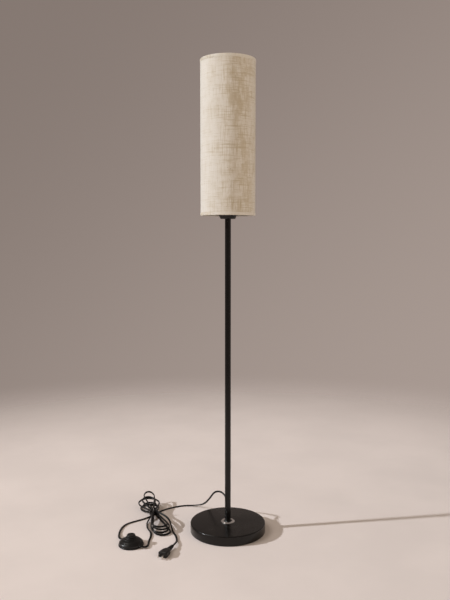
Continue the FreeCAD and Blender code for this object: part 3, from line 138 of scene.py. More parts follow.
class Tree:
    """A shader or geometry node tree with one method that makes its nodes."""

    def __init__(self, tree: bpy.types.NodeTree) -> None:
        """Start on an emptied tree."""
        self.tree = tree
        tree.nodes.clear()

    def add(
        self, kind: str, settings: Settings | None = None, sockets: Mapping[str | int, object] | None = None
    ) -> Node:
        """Add a node, set it up and fill its sockets.

        Args:
            kind: The node's type.
            settings: The node's own settings.
            sockets: A plain value, or what source_of takes, for each named or numbered input.

        Returns:
            The new node.
        """
        node = self.tree.nodes.new(kind)
        for name, value in (settings or {}).items():
            setattr(node, name, value)
        for key, value in (sockets or {}).items():
            socket, source = self.input_of(node, key), self.source_of(value)
            if source is None:
                socket.default_value = value
            else:
                self.tree.links.new(source, socket)
        return node

    @staticmethod
    def source_of(value: object) -> Socket | None:
        """Find the output that a Value, a socket or a node stands for.

        Args:
            value: A Value, an output, a node for its first output, or something plain.

        Returns:
            The output, or None where the value is plain.
        """
        if isinstance(value, Value):
            return value.socket
        if isinstance(value, Node):
            return value.outputs[0]
        return value if isinstance(value, Socket) else None

    @staticmethod
    def input_of(node: Node, key: str | int) -> Socket:
        """Find an input by its number, or by its name among those in use.

        Args:
            node: The node to look at.
            key: The input's number or name.

        Returns:
            The input socket.
        """
        if isinstance(key, int):
            return node.inputs[key]
        return next(s for s in node.inputs if key in (s.identifier, s.name) and s.enabled)

    def maths(self, operation: str, *terms: "Value | float") -> Value:
        """Add a Math node over the terms and return its result."""
        node = self.add("ShaderNodeMath", {"operation": operation}, dict(enumerate(terms)))
        return Value(self, node.outputs[0])

    def vector(self, operation: str, *terms: object) -> Node:
        """Add a Vector Math node over the terms."""
        return self.add("ShaderNodeVectorMath", {"operation": operation}, dict(enumerate(terms)))

    def axes(self, vector: object) -> tuple[Value, Value, Value]:
        """Split a vector into its three numbers."""
        return tuple(Value(self, out) for out in self.add("ShaderNodeSeparateXYZ", None, {0: vector}).outputs)

    def joined(self, x: object, y: object, z: object) -> Node:
        """Join three numbers into a vector."""
        return self.add("ShaderNodeCombineXYZ", None, {0: x, 1: y, 2: z})

    def ranged(self, value: Value, low: float, high: float, to_low: float = 0.0, to_high: float = 1.0) -> Value:
        """Stretch the span from low to high to another span, smooth and held at its ends."""
        sockets = {"Value": value, "From Min": low, "From Max": high, "To Min": to_low, "To Max": to_high}
        return Value(self, self.add("ShaderNodeMapRange", {"interpolation_type": "SMOOTHSTEP"}, sockets).outputs[0])

    def blend(self, share: "Value | float", first: object, second: object) -> Socket:
        """Mix two colours.

        Args:
            share: How much of the second colour shows.
            first: A colour or a colour socket.
            second: A colour or a colour socket.

        Returns:
            The mixed colour.
        """
        first, second = (
            (*colour, 1.0) if isinstance(colour, tuple) and len(colour) == 3 else colour
            for colour in (first, second)
        )
        node = self.add(
            "ShaderNodeMix",
            {"data_type": "RGBA"},
            {"Factor_Float": share, "A_Color": first, "B_Color": second},
        )
        return next(s for s in node.outputs if s.identifier == "Result_Color")


class ShaderTree(Tree):
    """The tree of one material around a Principled shader."""

    def __init__(self, material: bpy.types.Material, constants: Settings) -> None:
        """Make the output, the shader and its fixed values.

        Args:
            material: The material to fill.
            constants: Numbers and colours that are the same all over the surface.
        """
        material.use_nodes = True
        super().__init__(material.node_tree)
        self.output = self.add("ShaderNodeOutputMaterial")
        self.shader = self.add("ShaderNodeBsdfPrincipled", None, constants)
        self.tree.links.new(self.shader.outputs[0], self.output.inputs["Surface"])
        self.coordinates = self.add("ShaderNodeTexCoord")

    @property
    def place(self) -> Socket:
        """The surface point in the object's own metres."""
        return self.coordinates.outputs["Object"]

    @property
    def cloth(self) -> Socket:
        """The surface point in the piece's own UV map."""
        return self.coordinates.outputs["UV"]

    def feed(self, name: str, source: object) -> None:
        """Link a varying value into an input of the shader."""
        self.tree.links.new(self.source_of(source), self.shader.inputs[name])

    def noise(self, vector: Socket, scale: float, detail: float = 2.0, rough: float = 0.5) -> Value:
        """Cloudy noise from 0 to 1, read at a vector, with finer layers added."""
        sockets = {"Vector": vector, "Scale": scale, "Detail": detail, "Roughness": rough}
        return Value(self, self.add("ShaderNodeTexNoise", {"noise_dimensions": "3D"}, sockets).outputs[0])

    def bump(self, height: Value, distance: float) -> None:
        """Feed a height from 0 to 1 into the shader's normal; the distance is in metres."""
        sockets = {"Height": height, "Distance": distance, "Strength": 1.0}
        self.feed("Normal", self.add("ShaderNodeBump", None, sockets))


# --- finishes
@dataclass(frozen=True)
class Finish:
    """A surface finish that makes its material once."""

    label: str
    slot: str

    def material(self) -> bpy.types.Material:
        """The finish's material, made when it is first asked for."""
        found = bpy.data.materials.get(self.label)
        if found is None:
            found = bpy.data.materials.new(self.label)
            self.dress(ShaderTree(found, self.FIXED))
        return found

    FIXED: ClassVar[Settings] = {}

    def dress(self, tree: ShaderTree) -> None:
        """Add the nodes that vary over the surface."""
        raise NotImplementedError


@dataclass(frozen=True)
class SatinPaint(Finish):
    """Baked satin paint with the faint orange peel of a powder coat."""

    colour: Colour = (0.0034, 0.0027, 0.0023)
    roughness: float = 0.19
    peel: float = 0.00004

    FIXED: ClassVar[Settings] = {"Specular IOR Level": 0.34}

    def dress(self, tree: ShaderTree) -> None:
        """Cloud the colour and the gloss, lay dust on the upper faces and roll the surface."""
        cloud = tree.noise(tree.place, 14.0, 4.0, 0.6)
        fine = tree.noise(tree.place, 900.0, 2.0)
        normal_up = tree.axes(tree.add("ShaderNodeNewGeometry").outputs["Normal"])[2]
        dust = tree.ranged(normal_up, 0.75, 1.0) * tree.ranged(cloud, 0.45, 0.75) * 0.10
        lighter = tuple(min(1.0, part * 1.45) for part in self.colour)
        tinted = tree.blend(tree.ranged(cloud, 0.3, 0.7), self.colour, lighter)
        tree.feed("Base Color", tree.blend(dust, tinted, (0.10, 0.09, 0.08)))
        tree.feed("Roughness", self.roughness + cloud * 0.07 + fine * 0.03 + dust * 0.6)
        tree.bump(tree.noise(tree.place, 420.0, 1.0), self.peel)


@dataclass(frozen=True)
class MouldedPlastic(Finish):
    """Injection-moulded plastic with a fine spark-eroded grain."""

    colour: Colour = (0.0042, 0.0040, 0.0038)
    roughness: float = 0.30
    grain: float = 0.00003

    FIXED: ClassVar[Settings] = {"Specular IOR Level": 0.36}

    def dress(self, tree: ShaderTree) -> None:
        """Grain the surface and let handling polish it in places."""
        grain = tree.noise(tree.place, 2600.0, 3.0, 0.7)
        worn = tree.noise(tree.place, 60.0, 3.0)
        lighter = tuple(min(1.0, part * 1.5 + 0.001) for part in self.colour)
        tree.feed("Base Color", tree.blend(tree.ranged(worn, 0.35, 0.75), self.colour, lighter))
        tree.feed("Roughness", self.roughness + grain * 0.12 - tree.ranged(worn, 0.5, 0.8) * 0.10)
        tree.bump(grain, self.grain)


@dataclass(frozen=True)
class CordJacket(Finish):
    """Soft extruded jacket of a lamp cord, with draw marks along it."""

    colour: Colour = (0.0032, 0.0030, 0.0029)

    FIXED: ClassVar[Settings] = {"Specular IOR Level": 0.26}

    def dress(self, tree: ShaderTree) -> None:
        """Draw fine marks along the cord and dull it with handling dust."""
        dust = tree.noise(tree.place, 45.0, 4.0, 0.65)
        marks = tree.noise(tree.cloth, 320.0, 2.0)
        tree.feed("Base Color", tree.blend(tree.ranged(dust, 0.52, 0.78) * 0.30, self.colour, (0.020, 0.018, 0.017)))
        tree.feed("Roughness", 0.33 + dust * 0.16)
        tree.bump(marks, 0.00003)


@dataclass(frozen=True)
class Metal(Finish):
    """Bare or plated metal with fine marks left by its tool."""

    colour: Colour = (0.72, 0.71, 0.70)
    roughness: float = 0.20
    marks: float = 0.00002
    mark_scale: tuple[float, float, float] = (300.0, 300.0, 300.0)
    tarnish: Colour = (0.42, 0.40, 0.38)
    tarnished: float = 0.25

    FIXED: ClassVar[Settings] = {"Metallic": 1.0}

    def dress(self, tree: ShaderTree) -> None:
        """Vary the polish, the tarnish and the tool marks."""
        place = tree.vector("MULTIPLY", tree.place, self.mark_scale)
        marks = tree.noise(place, 1.0, 3.0, 0.6)
        film = tree.noise(tree.place, 80.0, 4.0, 0.6)
        tree.feed("Base Color", tree.blend(tree.ranged(film, 0.45, 0.8) * self.tarnished, self.colour, self.tarnish))
        tree.feed("Roughness", self.roughness + marks * 0.10 + tree.ranged(film, 0.4, 0.8) * 0.12)
        tree.bump(marks, self.marks)


@dataclass(frozen=True)
class CastIron(Finish):
    """Sand-cast iron, dark and pitted."""

    FIXED: ClassVar[Settings] = {"Metallic": 0.75}

    def dress(self, tree: ShaderTree) -> None:
        """Pit the surface and stain it with rust in its hollows."""
        sand = tree.noise(tree.place, 700.0, 4.0, 0.7)
        stain = tree.ranged(tree.noise(tree.place, 50.0, 4.0, 0.6), 0.5, 0.75)
        tree.feed("Base Color", tree.blend(stain * 0.5, (0.10, 0.095, 0.09), (0.13, 0.06, 0.03)))
        tree.feed("Roughness", 0.62 + sand * 0.25)
        tree.bump(sand, 0.0003)


@dataclass(frozen=True)
class FoamPad(Finish):
    """Closed-cell foam sheet."""

    FIXED: ClassVar[Settings] = {"Specular IOR Level": 0.15}

    def dress(self, tree: ShaderTree) -> None:
        """Show the foam's cells in its colour and its height."""
        cells = tree.add("ShaderNodeTexVoronoi", {"feature": "F1"}, {"Vector": tree.place, "Scale": 1400.0})
        cell = Value(tree, cells.outputs["Distance"])
        tree.feed("Base Color", tree.blend(tree.ranged(cell, 0.0, 0.7), (0.012, 0.012, 0.012), (0.035, 0.034, 0.033)))
        tree.feed("Roughness", 0.85 + cell * 0.1)
        tree.bump(cell, 0.0002)


@dataclass(frozen=True)
class Linen(Finish):
    """Undyed linen in plain weave: uneven yarns, slubs and dark flecks of flax stalk, with painted shade in the gaps
    between yarns and in a band on one side.
    """

    pitch: float = 0.00105
    pale: Colour = (0.750, 0.705, 0.650)
    warm: Colour = (0.520, 0.430, 0.300)
    # Colour of the dark flecks, which also serves as painted shade in the weave's gaps.
    straw_and_gap_shade: Colour = (0.250, 0.165, 0.085)
    depth: float = 0.00030
    # Where the band of painted shade sits in the cloth's map, and how wide it is: the front-right side, turned from
    # the key light.
    painted_shade_band_at: float = 0.286
    painted_shade_band_reach: float = 0.062

    FIXED: ClassVar[Settings] = {"Sheen Weight": 0.12, "Sheen Roughness": 0.5, "Specular IOR Level": 0.18}

    def yarn(self, tree: ShaderTree, along: Value, across: Value, seed: float) -> tuple[Value, Value]:
        """One set of yarns.

        Args:
            tree: The material's tree.
            along: The map's number along the yarns, in metres.
            across: The map's number across them, in metres.
            seed: What sets this set's noise apart.

        Returns:
            The phase across the yarn, and how dark its thick and unbleached stretches are.
        """
        wander = tree.noise(tree.joined(along * 30.0, across * 90.0, seed), 1.0, 2.0)
        phase = across / self.pitch + (wander - 0.5) * 0.7
        streak = tree.noise(tree.joined(across * 520.0, along * 19.0, seed), 1.0, 1.0, 0.6)
        fine = tree.noise(tree.joined(across * 950.0, along * 70.0, seed + 4.0), 1.0, 1.0)
        return phase, tree.ranged(streak, 0.50, 0.68) * 0.95 + tree.ranged(fine, 0.45, 0.75) * 0.40

    def dress(self, tree: ShaderTree) -> None:
        """Weave the two sets of yarns, then tint and raise them; painted shade darkens the gaps between yarns and a
        band on the side turned from the key light.
        """
        u, v, _ = tree.axes(tree.cloth)
        warp_phase, warp_dark = self.yarn(tree, v, u, 3.1)
        weft_phase, weft_dark = self.yarn(tree, u, v, 8.6)
        warp_wave = tree.maths("SINE", warp_phase * pi)
        weft_wave = tree.maths("SINE", weft_phase * pi)
        over = tree.ranged(warp_wave * weft_wave, -0.25, 0.25)
        warp_round = tree.maths("ABSOLUTE", warp_wave)
        weft_round = tree.maths("ABSOLUTE", weft_wave)
        height = over * warp_round + (1.0 - over) * weft_round
        # Painted shade: the band on the front-right side gathers more brown stain, dark yarn grid and flecks. The
        # stain, grid and flecks are the cloth's own; their gathering in that band is painted shade.
        off = (u - self.painted_shade_band_at) / self.painted_shade_band_reach
        painted_shade_band = tree.maths("POWER", math.e, -(off * off))
        cloud = tree.noise(tree.joined(u * 34.0, v * 19.0, 2.6), 1.0, 5.0, 0.66)
        stain = tree.ranged(cloud, 0.44, 0.68) * (painted_shade_band * 0.62 + 0.10)
        grid = (warp_dark + weft_dark) * (painted_shade_band * 0.45 + 0.27)
        # Painted shade: the low gaps between yarns are darkened towards the flecks' colour.
        gap = (1.0 - tree.ranged(height, 0.0, 0.45)) * 0.25
        fleck_noise = tree.noise(tree.joined(u * 240.0, v * 190.0, 4.0), 1.0, 1.0)
        flecks = tree.ranged(fleck_noise, 0.735, 0.78) * (painted_shade_band * 0.65 + 0.25)
        tinted = tree.blend(stain, self.pale, self.warm)
        woven = tree.blend(tree.ranged(grid, 0.0, 1.0, 0.0, 0.85), tinted, self.warm)
        shaded = tree.blend(gap, woven, self.straw_and_gap_shade)
        tree.feed("Base Color", tree.blend(flecks, shaded, self.straw_and_gap_shade))
        tree.feed("Roughness", 0.78 + height * 0.14)
        tree.bump(height + grid * 0.5 + flecks * 0.3, self.depth)


@dataclass(frozen=True)
class StyreneLiner(Finish):
    """White plastic sheet that backs the cloth."""

    FIXED: ClassVar[Settings] = {"Specular IOR Level": 0.35}

    def dress(self, tree: ShaderTree) -> None:
        """Yellow it a little and keep the rolling marks."""
        cloud = tree.noise(tree.place, 9.0, 3.0)
        rolled = tree.noise(tree.vector("MULTIPLY", tree.place, (40.0, 40.0, 900.0)), 1.0, 1.0)
        tree.feed("Base Color", tree.blend(cloud, (0.83, 0.81, 0.76), (0.76, 0.72, 0.64)))
        tree.feed("Roughness", 0.45 + rolled * 0.1)
        tree.bump(rolled, 0.00003)


@dataclass(frozen=True)
class DipPaint(Finish):
    """White paint on frame wire, dipped and a little lumpy."""

    def dress(self, tree: ShaderTree) -> None:
        """Let the paint pool and chip."""
        pool = tree.noise(tree.place, 260.0, 3.0)
        chip = tree.ranged(tree.noise(tree.place, 520.0, 2.0), 0.72, 0.76)
        tree.feed("Base Color", tree.blend(chip * 0.7, (0.74, 0.73, 0.70), (0.22, 0.20, 0.19)))
        tree.feed("Roughness", 0.30 + pool * 0.15)
        tree.bump(pool, 0.00012)


@dataclass(frozen=True)
class BulbDome(Finish):
    """Frosted white diffuser of a lamp bulb."""

    FIXED: ClassVar[Settings] = {"IOR": 1.5, "Coat Roughness": 0.3}

    def dress(self, tree: ShaderTree) -> None:
        """Frost the dome."""
        frost = tree.noise(tree.place, 1800.0, 2.0)
        cloud = tree.noise(tree.place, 20.0, 2.0)
        tree.feed("Base Color", tree.blend(cloud, (0.86, 0.86, 0.84), (0.80, 0.80, 0.77)))
        tree.feed("Roughness", 0.35 + frost * 0.15)
        tree.bump(frost, 0.00002)


class Finishes:
    """The lamp's finishes, each with the slot name that it stands for."""

    BLACK_PAINT = SatinPaint("satin_black_paint", "black_paint")
    BLACK_PLASTIC = MouldedPlastic("black_moulding", "black_plastic")
    HOLDER_PLASTIC = MouldedPlastic("holder_moulding", "holder_plastic", (0.018, 0.017, 0.016), 0.32)
    CORD_JACKET = CordJacket("cord_jacket_skin", "cord_jacket")
    CHROME = Metal("chrome_plate", "chrome_trim", (0.82, 0.82, 0.81), 0.10, 0.000008)
    ZINC = Metal("zinc_plate", "zinc", (0.56, 0.57, 0.56), 0.34, 0.00003, tarnish=(0.30, 0.30, 0.29), tarnished=0.6)
    BRASS = Metal(
        "brass_strip", "brass_contact", (0.72, 0.52, 0.22), 0.24, 0.00002, tarnish=(0.36, 0.24, 0.10), tarnished=0.4
    )
    SCREW_SHELL = Metal("aluminium_shell", "screw_shell", (0.78, 0.78, 0.77), 0.26, 0.00002)
    SPRING_STEEL = Metal("spring_steel_wire", "spring_steel", (0.42, 0.42, 0.43), 0.28, 0.00001)
    BLADE_METAL = Metal("nickel_blade", "blade_metal", (0.74, 0.71, 0.66), 0.18, 0.00002, (60.0, 60.0, 900.0))
    CAST_IRON = CastIron("sand_cast_iron", "cast_iron")
    FOAM = FoamPad("foam_sheet", "foam_pad")
    LINEN = Linen("linen_weave", "linen")
    LINER = StyreneLiner("styrene_sheet", "liner")
    FRAME_WIRE = DipPaint("dipped_wire", "frame_wire")
    BULB_WHITE = MouldedPlastic("bulb_housing_moulding", "bulb_white", (0.72, 0.72, 0.70), 0.36, 0.00001)
    BULB_DOME = BulbDome("bulb_dome_frost", "bulb_diffuser")


# --- mesh making
def linked(name: str, data: bpy.types.ID) -> Piece:
    """Make an object of its data and link it to the scene."""
    piece = bpy.data.objects.new(name, data)
    bpy.context.scene.collection.objects.link(piece)
    return piece


def shaded(mesh: bpy.types.Mesh, sharp_deg: float = SHARP_DEG) -> bpy.types.Mesh:
    """Shade a mesh smooth, with the edges sharp that turn more than an angle."""
    mesh.shade_smooth()
    mesh.set_sharp_from_angle(angle=radians(sharp_deg))
    return mesh


def mesh_of(name: str, build: Build, scale: float = 1.0) -> bpy.types.Mesh:
    """Make a scaled mesh of a bmesh, which is freed."""
    mesh = bpy.data.meshes.new(name)
    build.to_mesh(mesh)
    build.free()
    mesh.transform(Matrix.Scale(scale, 4))
    return mesh


def object_from(name: str, build: Build, sharp_deg: float = SHARP_DEG) -> Piece:
    """Turn a bmesh in millimetres into a smooth object in metres.

    Args:
        name: The piece's name.
        build: The closed mesh; it is freed here.
        sharp_deg: Edges that turn more than this stay sharp.

    Returns:
        The new object, linked to the scene.
    """
    bmesh.ops.remove_doubles(build, verts=build.verts, dist=WELD)
    bmesh.ops.recalc_face_normals(build, faces=build.faces)
    return linked(name, shaded(mesh_of(name, build, MM), sharp_deg))


def angles(count: int) -> list[float]:
    """Angles set evenly round a full turn."""
    return [2 * pi * k / count for k in range(count)]


def about(axis: str, degrees: float) -> Matrix:
    """A turn about an axis through the origin."""
    return Matrix.Rotation(radians(degrees), 4, axis)


def oblong(inner: float, outer: float, low: float, high: float, *roundings: float) -> list[Corner]:
    """The four corners of a ring's section, sharp or each with its own rounding."""
    return list(zip((inner, outer, outer, inner), (low, low, high, high), roundings or (0, 0, 0, 0)))


def rounded(corners: Sequence[Corner], steps: int = 6) -> list[Vector]:
    """Round the corners of a closed outline.

    Args:
        corners: (x, y, radius) of each corner, in order.
        steps: Into how many runs each rounding is divided.

    Returns:
        The outline's points.
    """
    points: list[Vector] = []
    for index, (x, y, radius) in enumerate(corners):
        here = Vector((x, y))
        if radius <= 0:
            points.append(here)
            continue
        back = (Vector(corners[index - 1][:2]) - here).normalized()
        on = (Vector(corners[(index + 1) % len(corners)][:2]) - here).normalized()
        half = back.angle(on) / 2
        centre = here + (back + on).normalized() * (radius / sin(half))
        start = here + back * (radius / math.tan(half)) - centre
        turn = start.angle_signed(here + on * (radius / math.tan(half)) - centre)
        for step in range(steps + 1):
            angle = -turn * step / steps
            c, s = cos(angle), sin(angle)
            points.append(centre + Vector((start.x * c - start.y * s, start.x * s + start.y * c)))
    return points


def bridge(build: Build, rows: list[list[bmesh.types.BMVert]], closed: bool) -> None:
    """Join rings of as many vertices each by faces.

    Args:
        build: The mesh that holds them.
        rows: The rings in order; one that is a single point repeats it.
        closed: Whether the last ring is joined to the first.
    """
    for row, after in zip(rows, rows[1:] + (rows[:1] if closed else [])):
        for k in range(len(row)):
            n = (k + 1) % len(row)
            corners = list(dict.fromkeys((row[k], row[n], after[n], after[k])))
            if len(corners) > 2:
                build.faces.new(corners)


def turned(name: str, corners: Sequence[Corner], segments: int = 128, steps: int = 6) -> Piece:
    """Turn a closed outline about the lamp's axis.

    Args:
        name: The piece's name.
        corners: (radius, height, rounding) of each corner in order.
        segments: How many faces go round.
        steps: Into how many runs each rounding is divided.

    Returns:
        The turned piece.
    """
    build = bmesh.new()
    rows = []
    for point in rounded(corners, steps):
        if point.x < ON_AXIS:
            rows.append([build.verts.new((0.0, 0.0, point.y))] * segments)
        else:
            rows.append([
                build.verts.new((point.x * cos(a), point.x * sin(a), point.y)) for a in angles(segments)
            ])
    bridge(build, rows, True)
    return object_from(name, build)


def lofted(name: str, rings: Sequence[Sequence[Point]], closed: bool = False) -> Piece:
    """Join rings of as many points each.

    Args:
        name: The piece's name.
        rings: The rings in order, in millimetres.
        closed: Whether the last ring meets the first; else both ends get a face.

    Returns:
        The closed piece.
    """
    build = bmesh.new()
    rows = [[build.verts.new(point) for point in ring] for ring in rings]
    bridge(build, rows, closed)
    if not closed:
        build.faces.new(rows[0])
        build.faces.new(rows[-1])
    return object_from(name, build)


def placed(piece: Piece, matrix: Matrix) -> Piece:
    """Move a piece's mesh by a matrix given in millimetres."""
    matrix = matrix.copy()
    matrix.translation *= MM
    piece.data.transform(matrix)
    return piece


def joined(name: str, parts: Iterable[Piece]) -> Piece:
    """Join parts into one mesh object.

    Args:
        name: The piece's name.
        parts: Mesh objects; they are removed.

    Returns:
        The joined piece.
    """
    build = bmesh.new()
    for part in parts:
        build.from_mesh(part.data)
        mesh = part.data
        bpy.data.objects.remove(part)
        bpy.data.meshes.remove(mesh)
    return linked(name, shaded(mesh_of(name, build)))


def settled(source: Piece, name: str) -> Piece:
    """Replace an object that has live modifiers by the plain mesh it shows.

    Args:
        source: The object with its modifiers; it is removed.
        name: The plain piece's name.

    Returns:
        The plain piece.
    """
    graph = bpy.context.evaluated_depsgraph_get()
    mesh = bpy.data.meshes.new_from_object(source.evaluated_get(graph))
    mesh.name = name
    bpy.data.objects.remove(source)
    return linked(name, mesh)


def cut_by(piece: Piece, cutter: Piece) -> Piece:
    """Take one piece out of another.

    Args:
        piece: What is cut; it is replaced.
        cutter: What is taken out; it is removed.

    Returns:
        The cut piece.
    """
    name = piece.name
    modifier = piece.modifiers.new("cut", "BOOLEAN")
    modifier.operation = "DIFFERENCE"
    modifier.solver = "EXACT"
    modifier.object = cutter
    result = settled(piece, name + "_cut")
    bpy.data.objects.remove(cutter)
    shaded(result.data)
    result.name = name
    return result


def fit(piece: Piece, finish: Finish, *nodes: str, body: Body = Body.LAMP) -> Piece:
    """Dress a finished piece and set it on its body.

    Args:
        piece: The piece, in place.
        finish: Its finish.
        *nodes: CAD nodes that it stands for.
        body: The body that carries it.

    Returns:
        The same piece.
    """
    piece.data.materials.clear()
    piece.data.materials.append(finish.material())
    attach(piece, body.value)
    if nodes:
        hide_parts(*nodes)
    log.info("%s: %d faces on %s", piece.name, len(piece.data.polygons), body.value)
    return piece


class GeometryTree(Tree):
    """A geometry node tree with named inputs, run on a piece as a modifier."""

    def __init__(self, name: str, sizes: Mapping[str, float | int]) -> None:
        """Make the group and its named inputs.

        Args:
            name: The group's name.
            sizes: The value of each named input; whole numbers make whole inputs.
        """
        super().__init__(bpy.data.node_groups.new(name, "GeometryNodeTree"))
        face = self.tree.interface
        face.new_socket("Geometry", in_out="INPUT", socket_type="NodeSocketGeometry")
        face.new_socket("Geometry", in_out="OUTPUT", socket_type="NodeSocketGeometry")
        for label, value in sizes.items():
            kind = "NodeSocketInt" if isinstance(value, int) else "NodeSocketFloat"
            face.new_socket(label, in_out="INPUT", socket_type=kind)
        self.sizes = dict(sizes)
        self.entry = self.add("NodeGroupInput")

    @property
    def incoming(self) -> Socket:
        """The geometry that comes in."""
        return self.entry.outputs["Geometry"]

    def size(self, label: str) -> Value:
        """The value of a named input."""
        return Value(self, self.entry.outputs[label])

    def circle(self, resolution: int, radius: "Value | float") -> Node:
        """A round curve."""
        return self.add("GeometryNodeCurvePrimitiveCircle", None, {"Resolution": resolution, "Radius": radius})

    def straight(self, start: object, end: object) -> Node:
        """A straight curve between two points."""
        return self.add("GeometryNodeCurvePrimitiveLine", None, {"Start": start, "End": end})

    def cylinder(self, vertices: int, radius: Value, depth: Value) -> Node:
        """An upright cylinder round the origin."""
        sockets = {"Vertices": vertices, "Radius": radius, "Depth": depth}
        return self.add("GeometryNodeMeshCylinder", None, sockets)

    def row(self, count: "Value | int", start: object, step: object) -> Node:
        """Points in a straight row."""
        sockets = {"Count": count, "Start Location": start, "Offset": step}
        return self.add("GeometryNodeMeshLine", {"mode": "OFFSET"}, sockets)

    def swept(self, curve: object, profile: object, caps: bool = False) -> Node:
        """Sweep a profile along a curve."""
        sockets = {"Curve": curve, "Profile Curve": profile, "Fill Caps": caps}
        return self.add("GeometryNodeCurveToMesh", None, sockets)

    def moved(self, geometry: object, x: object, y: object, z: object) -> Node:
        """Move a geometry by three numbers."""
        return self.add("GeometryNodeTransform", None, {"Geometry": geometry, "Translation": self.joined(x, y, z)})

    def merged(self, *parts: Node) -> Node:
        """Join the geometry of several nodes."""
        node = self.add("GeometryNodeJoinGeometry")
        for part in parts:
            self.tree.links.new(part.outputs[0], node.inputs[0])
        return node

    def copies(self, points: object, instance: object, **sockets: object) -> Node:
        """Set a copy of the instance on each point."""
        return self.add("GeometryNodeInstanceOnPoints", None, {"Points": points, "Instance": instance, **sockets})

    def finish(self, geometry: object, finish: Finish) -> None:
        """Realise the copies, set the material and lead them out.

        Args:
            geometry: What the tree made.
            finish: The finish it shows.
        """
        real = self.add("GeometryNodeRealizeInstances", None, {"Geometry": geometry})
        smooth = self.add("GeometryNodeSetShadeSmooth", None, {0: real})
        dressed = self.add("GeometryNodeSetMaterial", None, {"Geometry": smooth, "Material": finish.material()})
        self.add("NodeGroupOutput", None, {"Geometry": dressed})

    def run_on(self, carrier: Piece, name: str) -> Piece:
        """Run the tree on an object and keep the plain mesh.

        Args:
            carrier: The object whose geometry goes in; it is replaced.
            name: The plain piece's name.

        Returns:
            The plain piece.
        """
        modifier = carrier.modifiers.new(self.tree.name, "NODES")
        modifier.node_group = self.tree
        for item in self.tree.interface.items_tree:
            if item.in_out == "INPUT" and item.name in self.sizes:
                modifier[item.identifier] = self.sizes[item.name]
        piece = settled(carrier, name)
        piece.data.set_sharp_from_angle(angle=radians(SHARP_DEG))
        return piece

    def run(self, name: str) -> Piece:
        """Run the tree with nothing coming in."""
        carrier = name + "_carrier"
        return self.run_on(linked(carrier, bpy.data.meshes.new(carrier)), name)


# --- cords
@dataclass(frozen=True)
class Stop:
    """A control point of a cord's route and how the flat cord lies there."""

    x: float
    y: float
    z: float
    lie_deg: float = 0.0


@dataclass(frozen=True)
class Cord:
    """Twin lamp cord: two cores side by side in one flat jacket."""

    width: float = 5.8
    thickness: float = 3.9
    groove: float = 0.22
    groove_reach: float = 0.27
    squareness: float = 0.62
    lift: float = 0.05
    section_points: int = 28

    @property
    def flat_rest(self) -> float:
        """Height of its middle when it lies flat on the floor."""
        return self.thickness / 2 + self.lift

    @property
    def edge_rest(self) -> float:
        """Height of its middle when it stands on edge."""
        return self.width / 2

    def line(self, name: str, stops: Sequence[Stop]) -> Piece:
        """Lay one smooth spline over the control points.

        Args:
            name: The curve's name.
            stops: The control points in order.

        Returns:
            The curve object, with no thickness.
        """
        curve = bpy.data.curves.new(name, "CURVE")
        curve.dimensions = "3D"
        curve.twist_mode = "Z_UP"
        spline = curve.splines.new("NURBS")
        spline.points.add(len(stops) - 1)
        for point, stop in zip(spline.points, stops):
            point.co = (stop.x * MM, stop.y * MM, stop.z * MM, 1.0)
            point.tilt = radians(stop.lie_deg)
        spline.order_u = 3
        spline.use_endpoint_u = True
        spline.resolution_u = 6
        return linked(name, curve)

    def section(self, tree: GeometryTree) -> Node:
        """Draw the flat twin section: an oval with a groove along each face.

        Args:
            tree: The tree that sweeps the cord.

        Returns:
            The section's curve.
        """
        circle = tree.circle(self.section_points, 1.0)
        x, y, _ = tree.axes(tree.add("GeometryNodeInputPosition"))
        full = tree.maths("SIGN", y) * tree.maths("ABSOLUTE", y) ** self.squareness
        dip = tree.maths("POWER", math.e, -((x / self.groove_reach) * (x / self.groove_reach)))
        height = full * (1.0 - tree.size("Groove") * dip)
        place = tree.joined(x * tree.size("Width") * 0.5, height * tree.size("Thickness") * 0.5, 0.0)
        return tree.add("GeometryNodeSetPosition", None, {0: circle, "Position": place})

    def swept(self, line: Piece, name: str) -> tuple[Piece, list[Vector]]:
        """Sweep the section along a line.

        Args:
            line: The spline; it is replaced.
            name: The cord's name.

        Returns:
            The cord's mesh, and the points of the line that it follows.
        """
        graph = bpy.context.evaluated_depsgraph_get()
        bare = bpy.data.meshes.new_from_object(line.evaluated_get(graph))
        path = [vertex.co.copy() for vertex in bare.vertices]
        bpy.data.meshes.remove(bare)
        sizes = {"Width": self.width * MM, "Thickness": self.thickness * MM, "Groove": self.groove}
        tree = GeometryTree(name + "_sweep", sizes)
        tree.finish(tree.swept(tree.incoming, self.section(tree), True), Finishes.CORD_JACKET)
        return tree.run_on(line, name), path


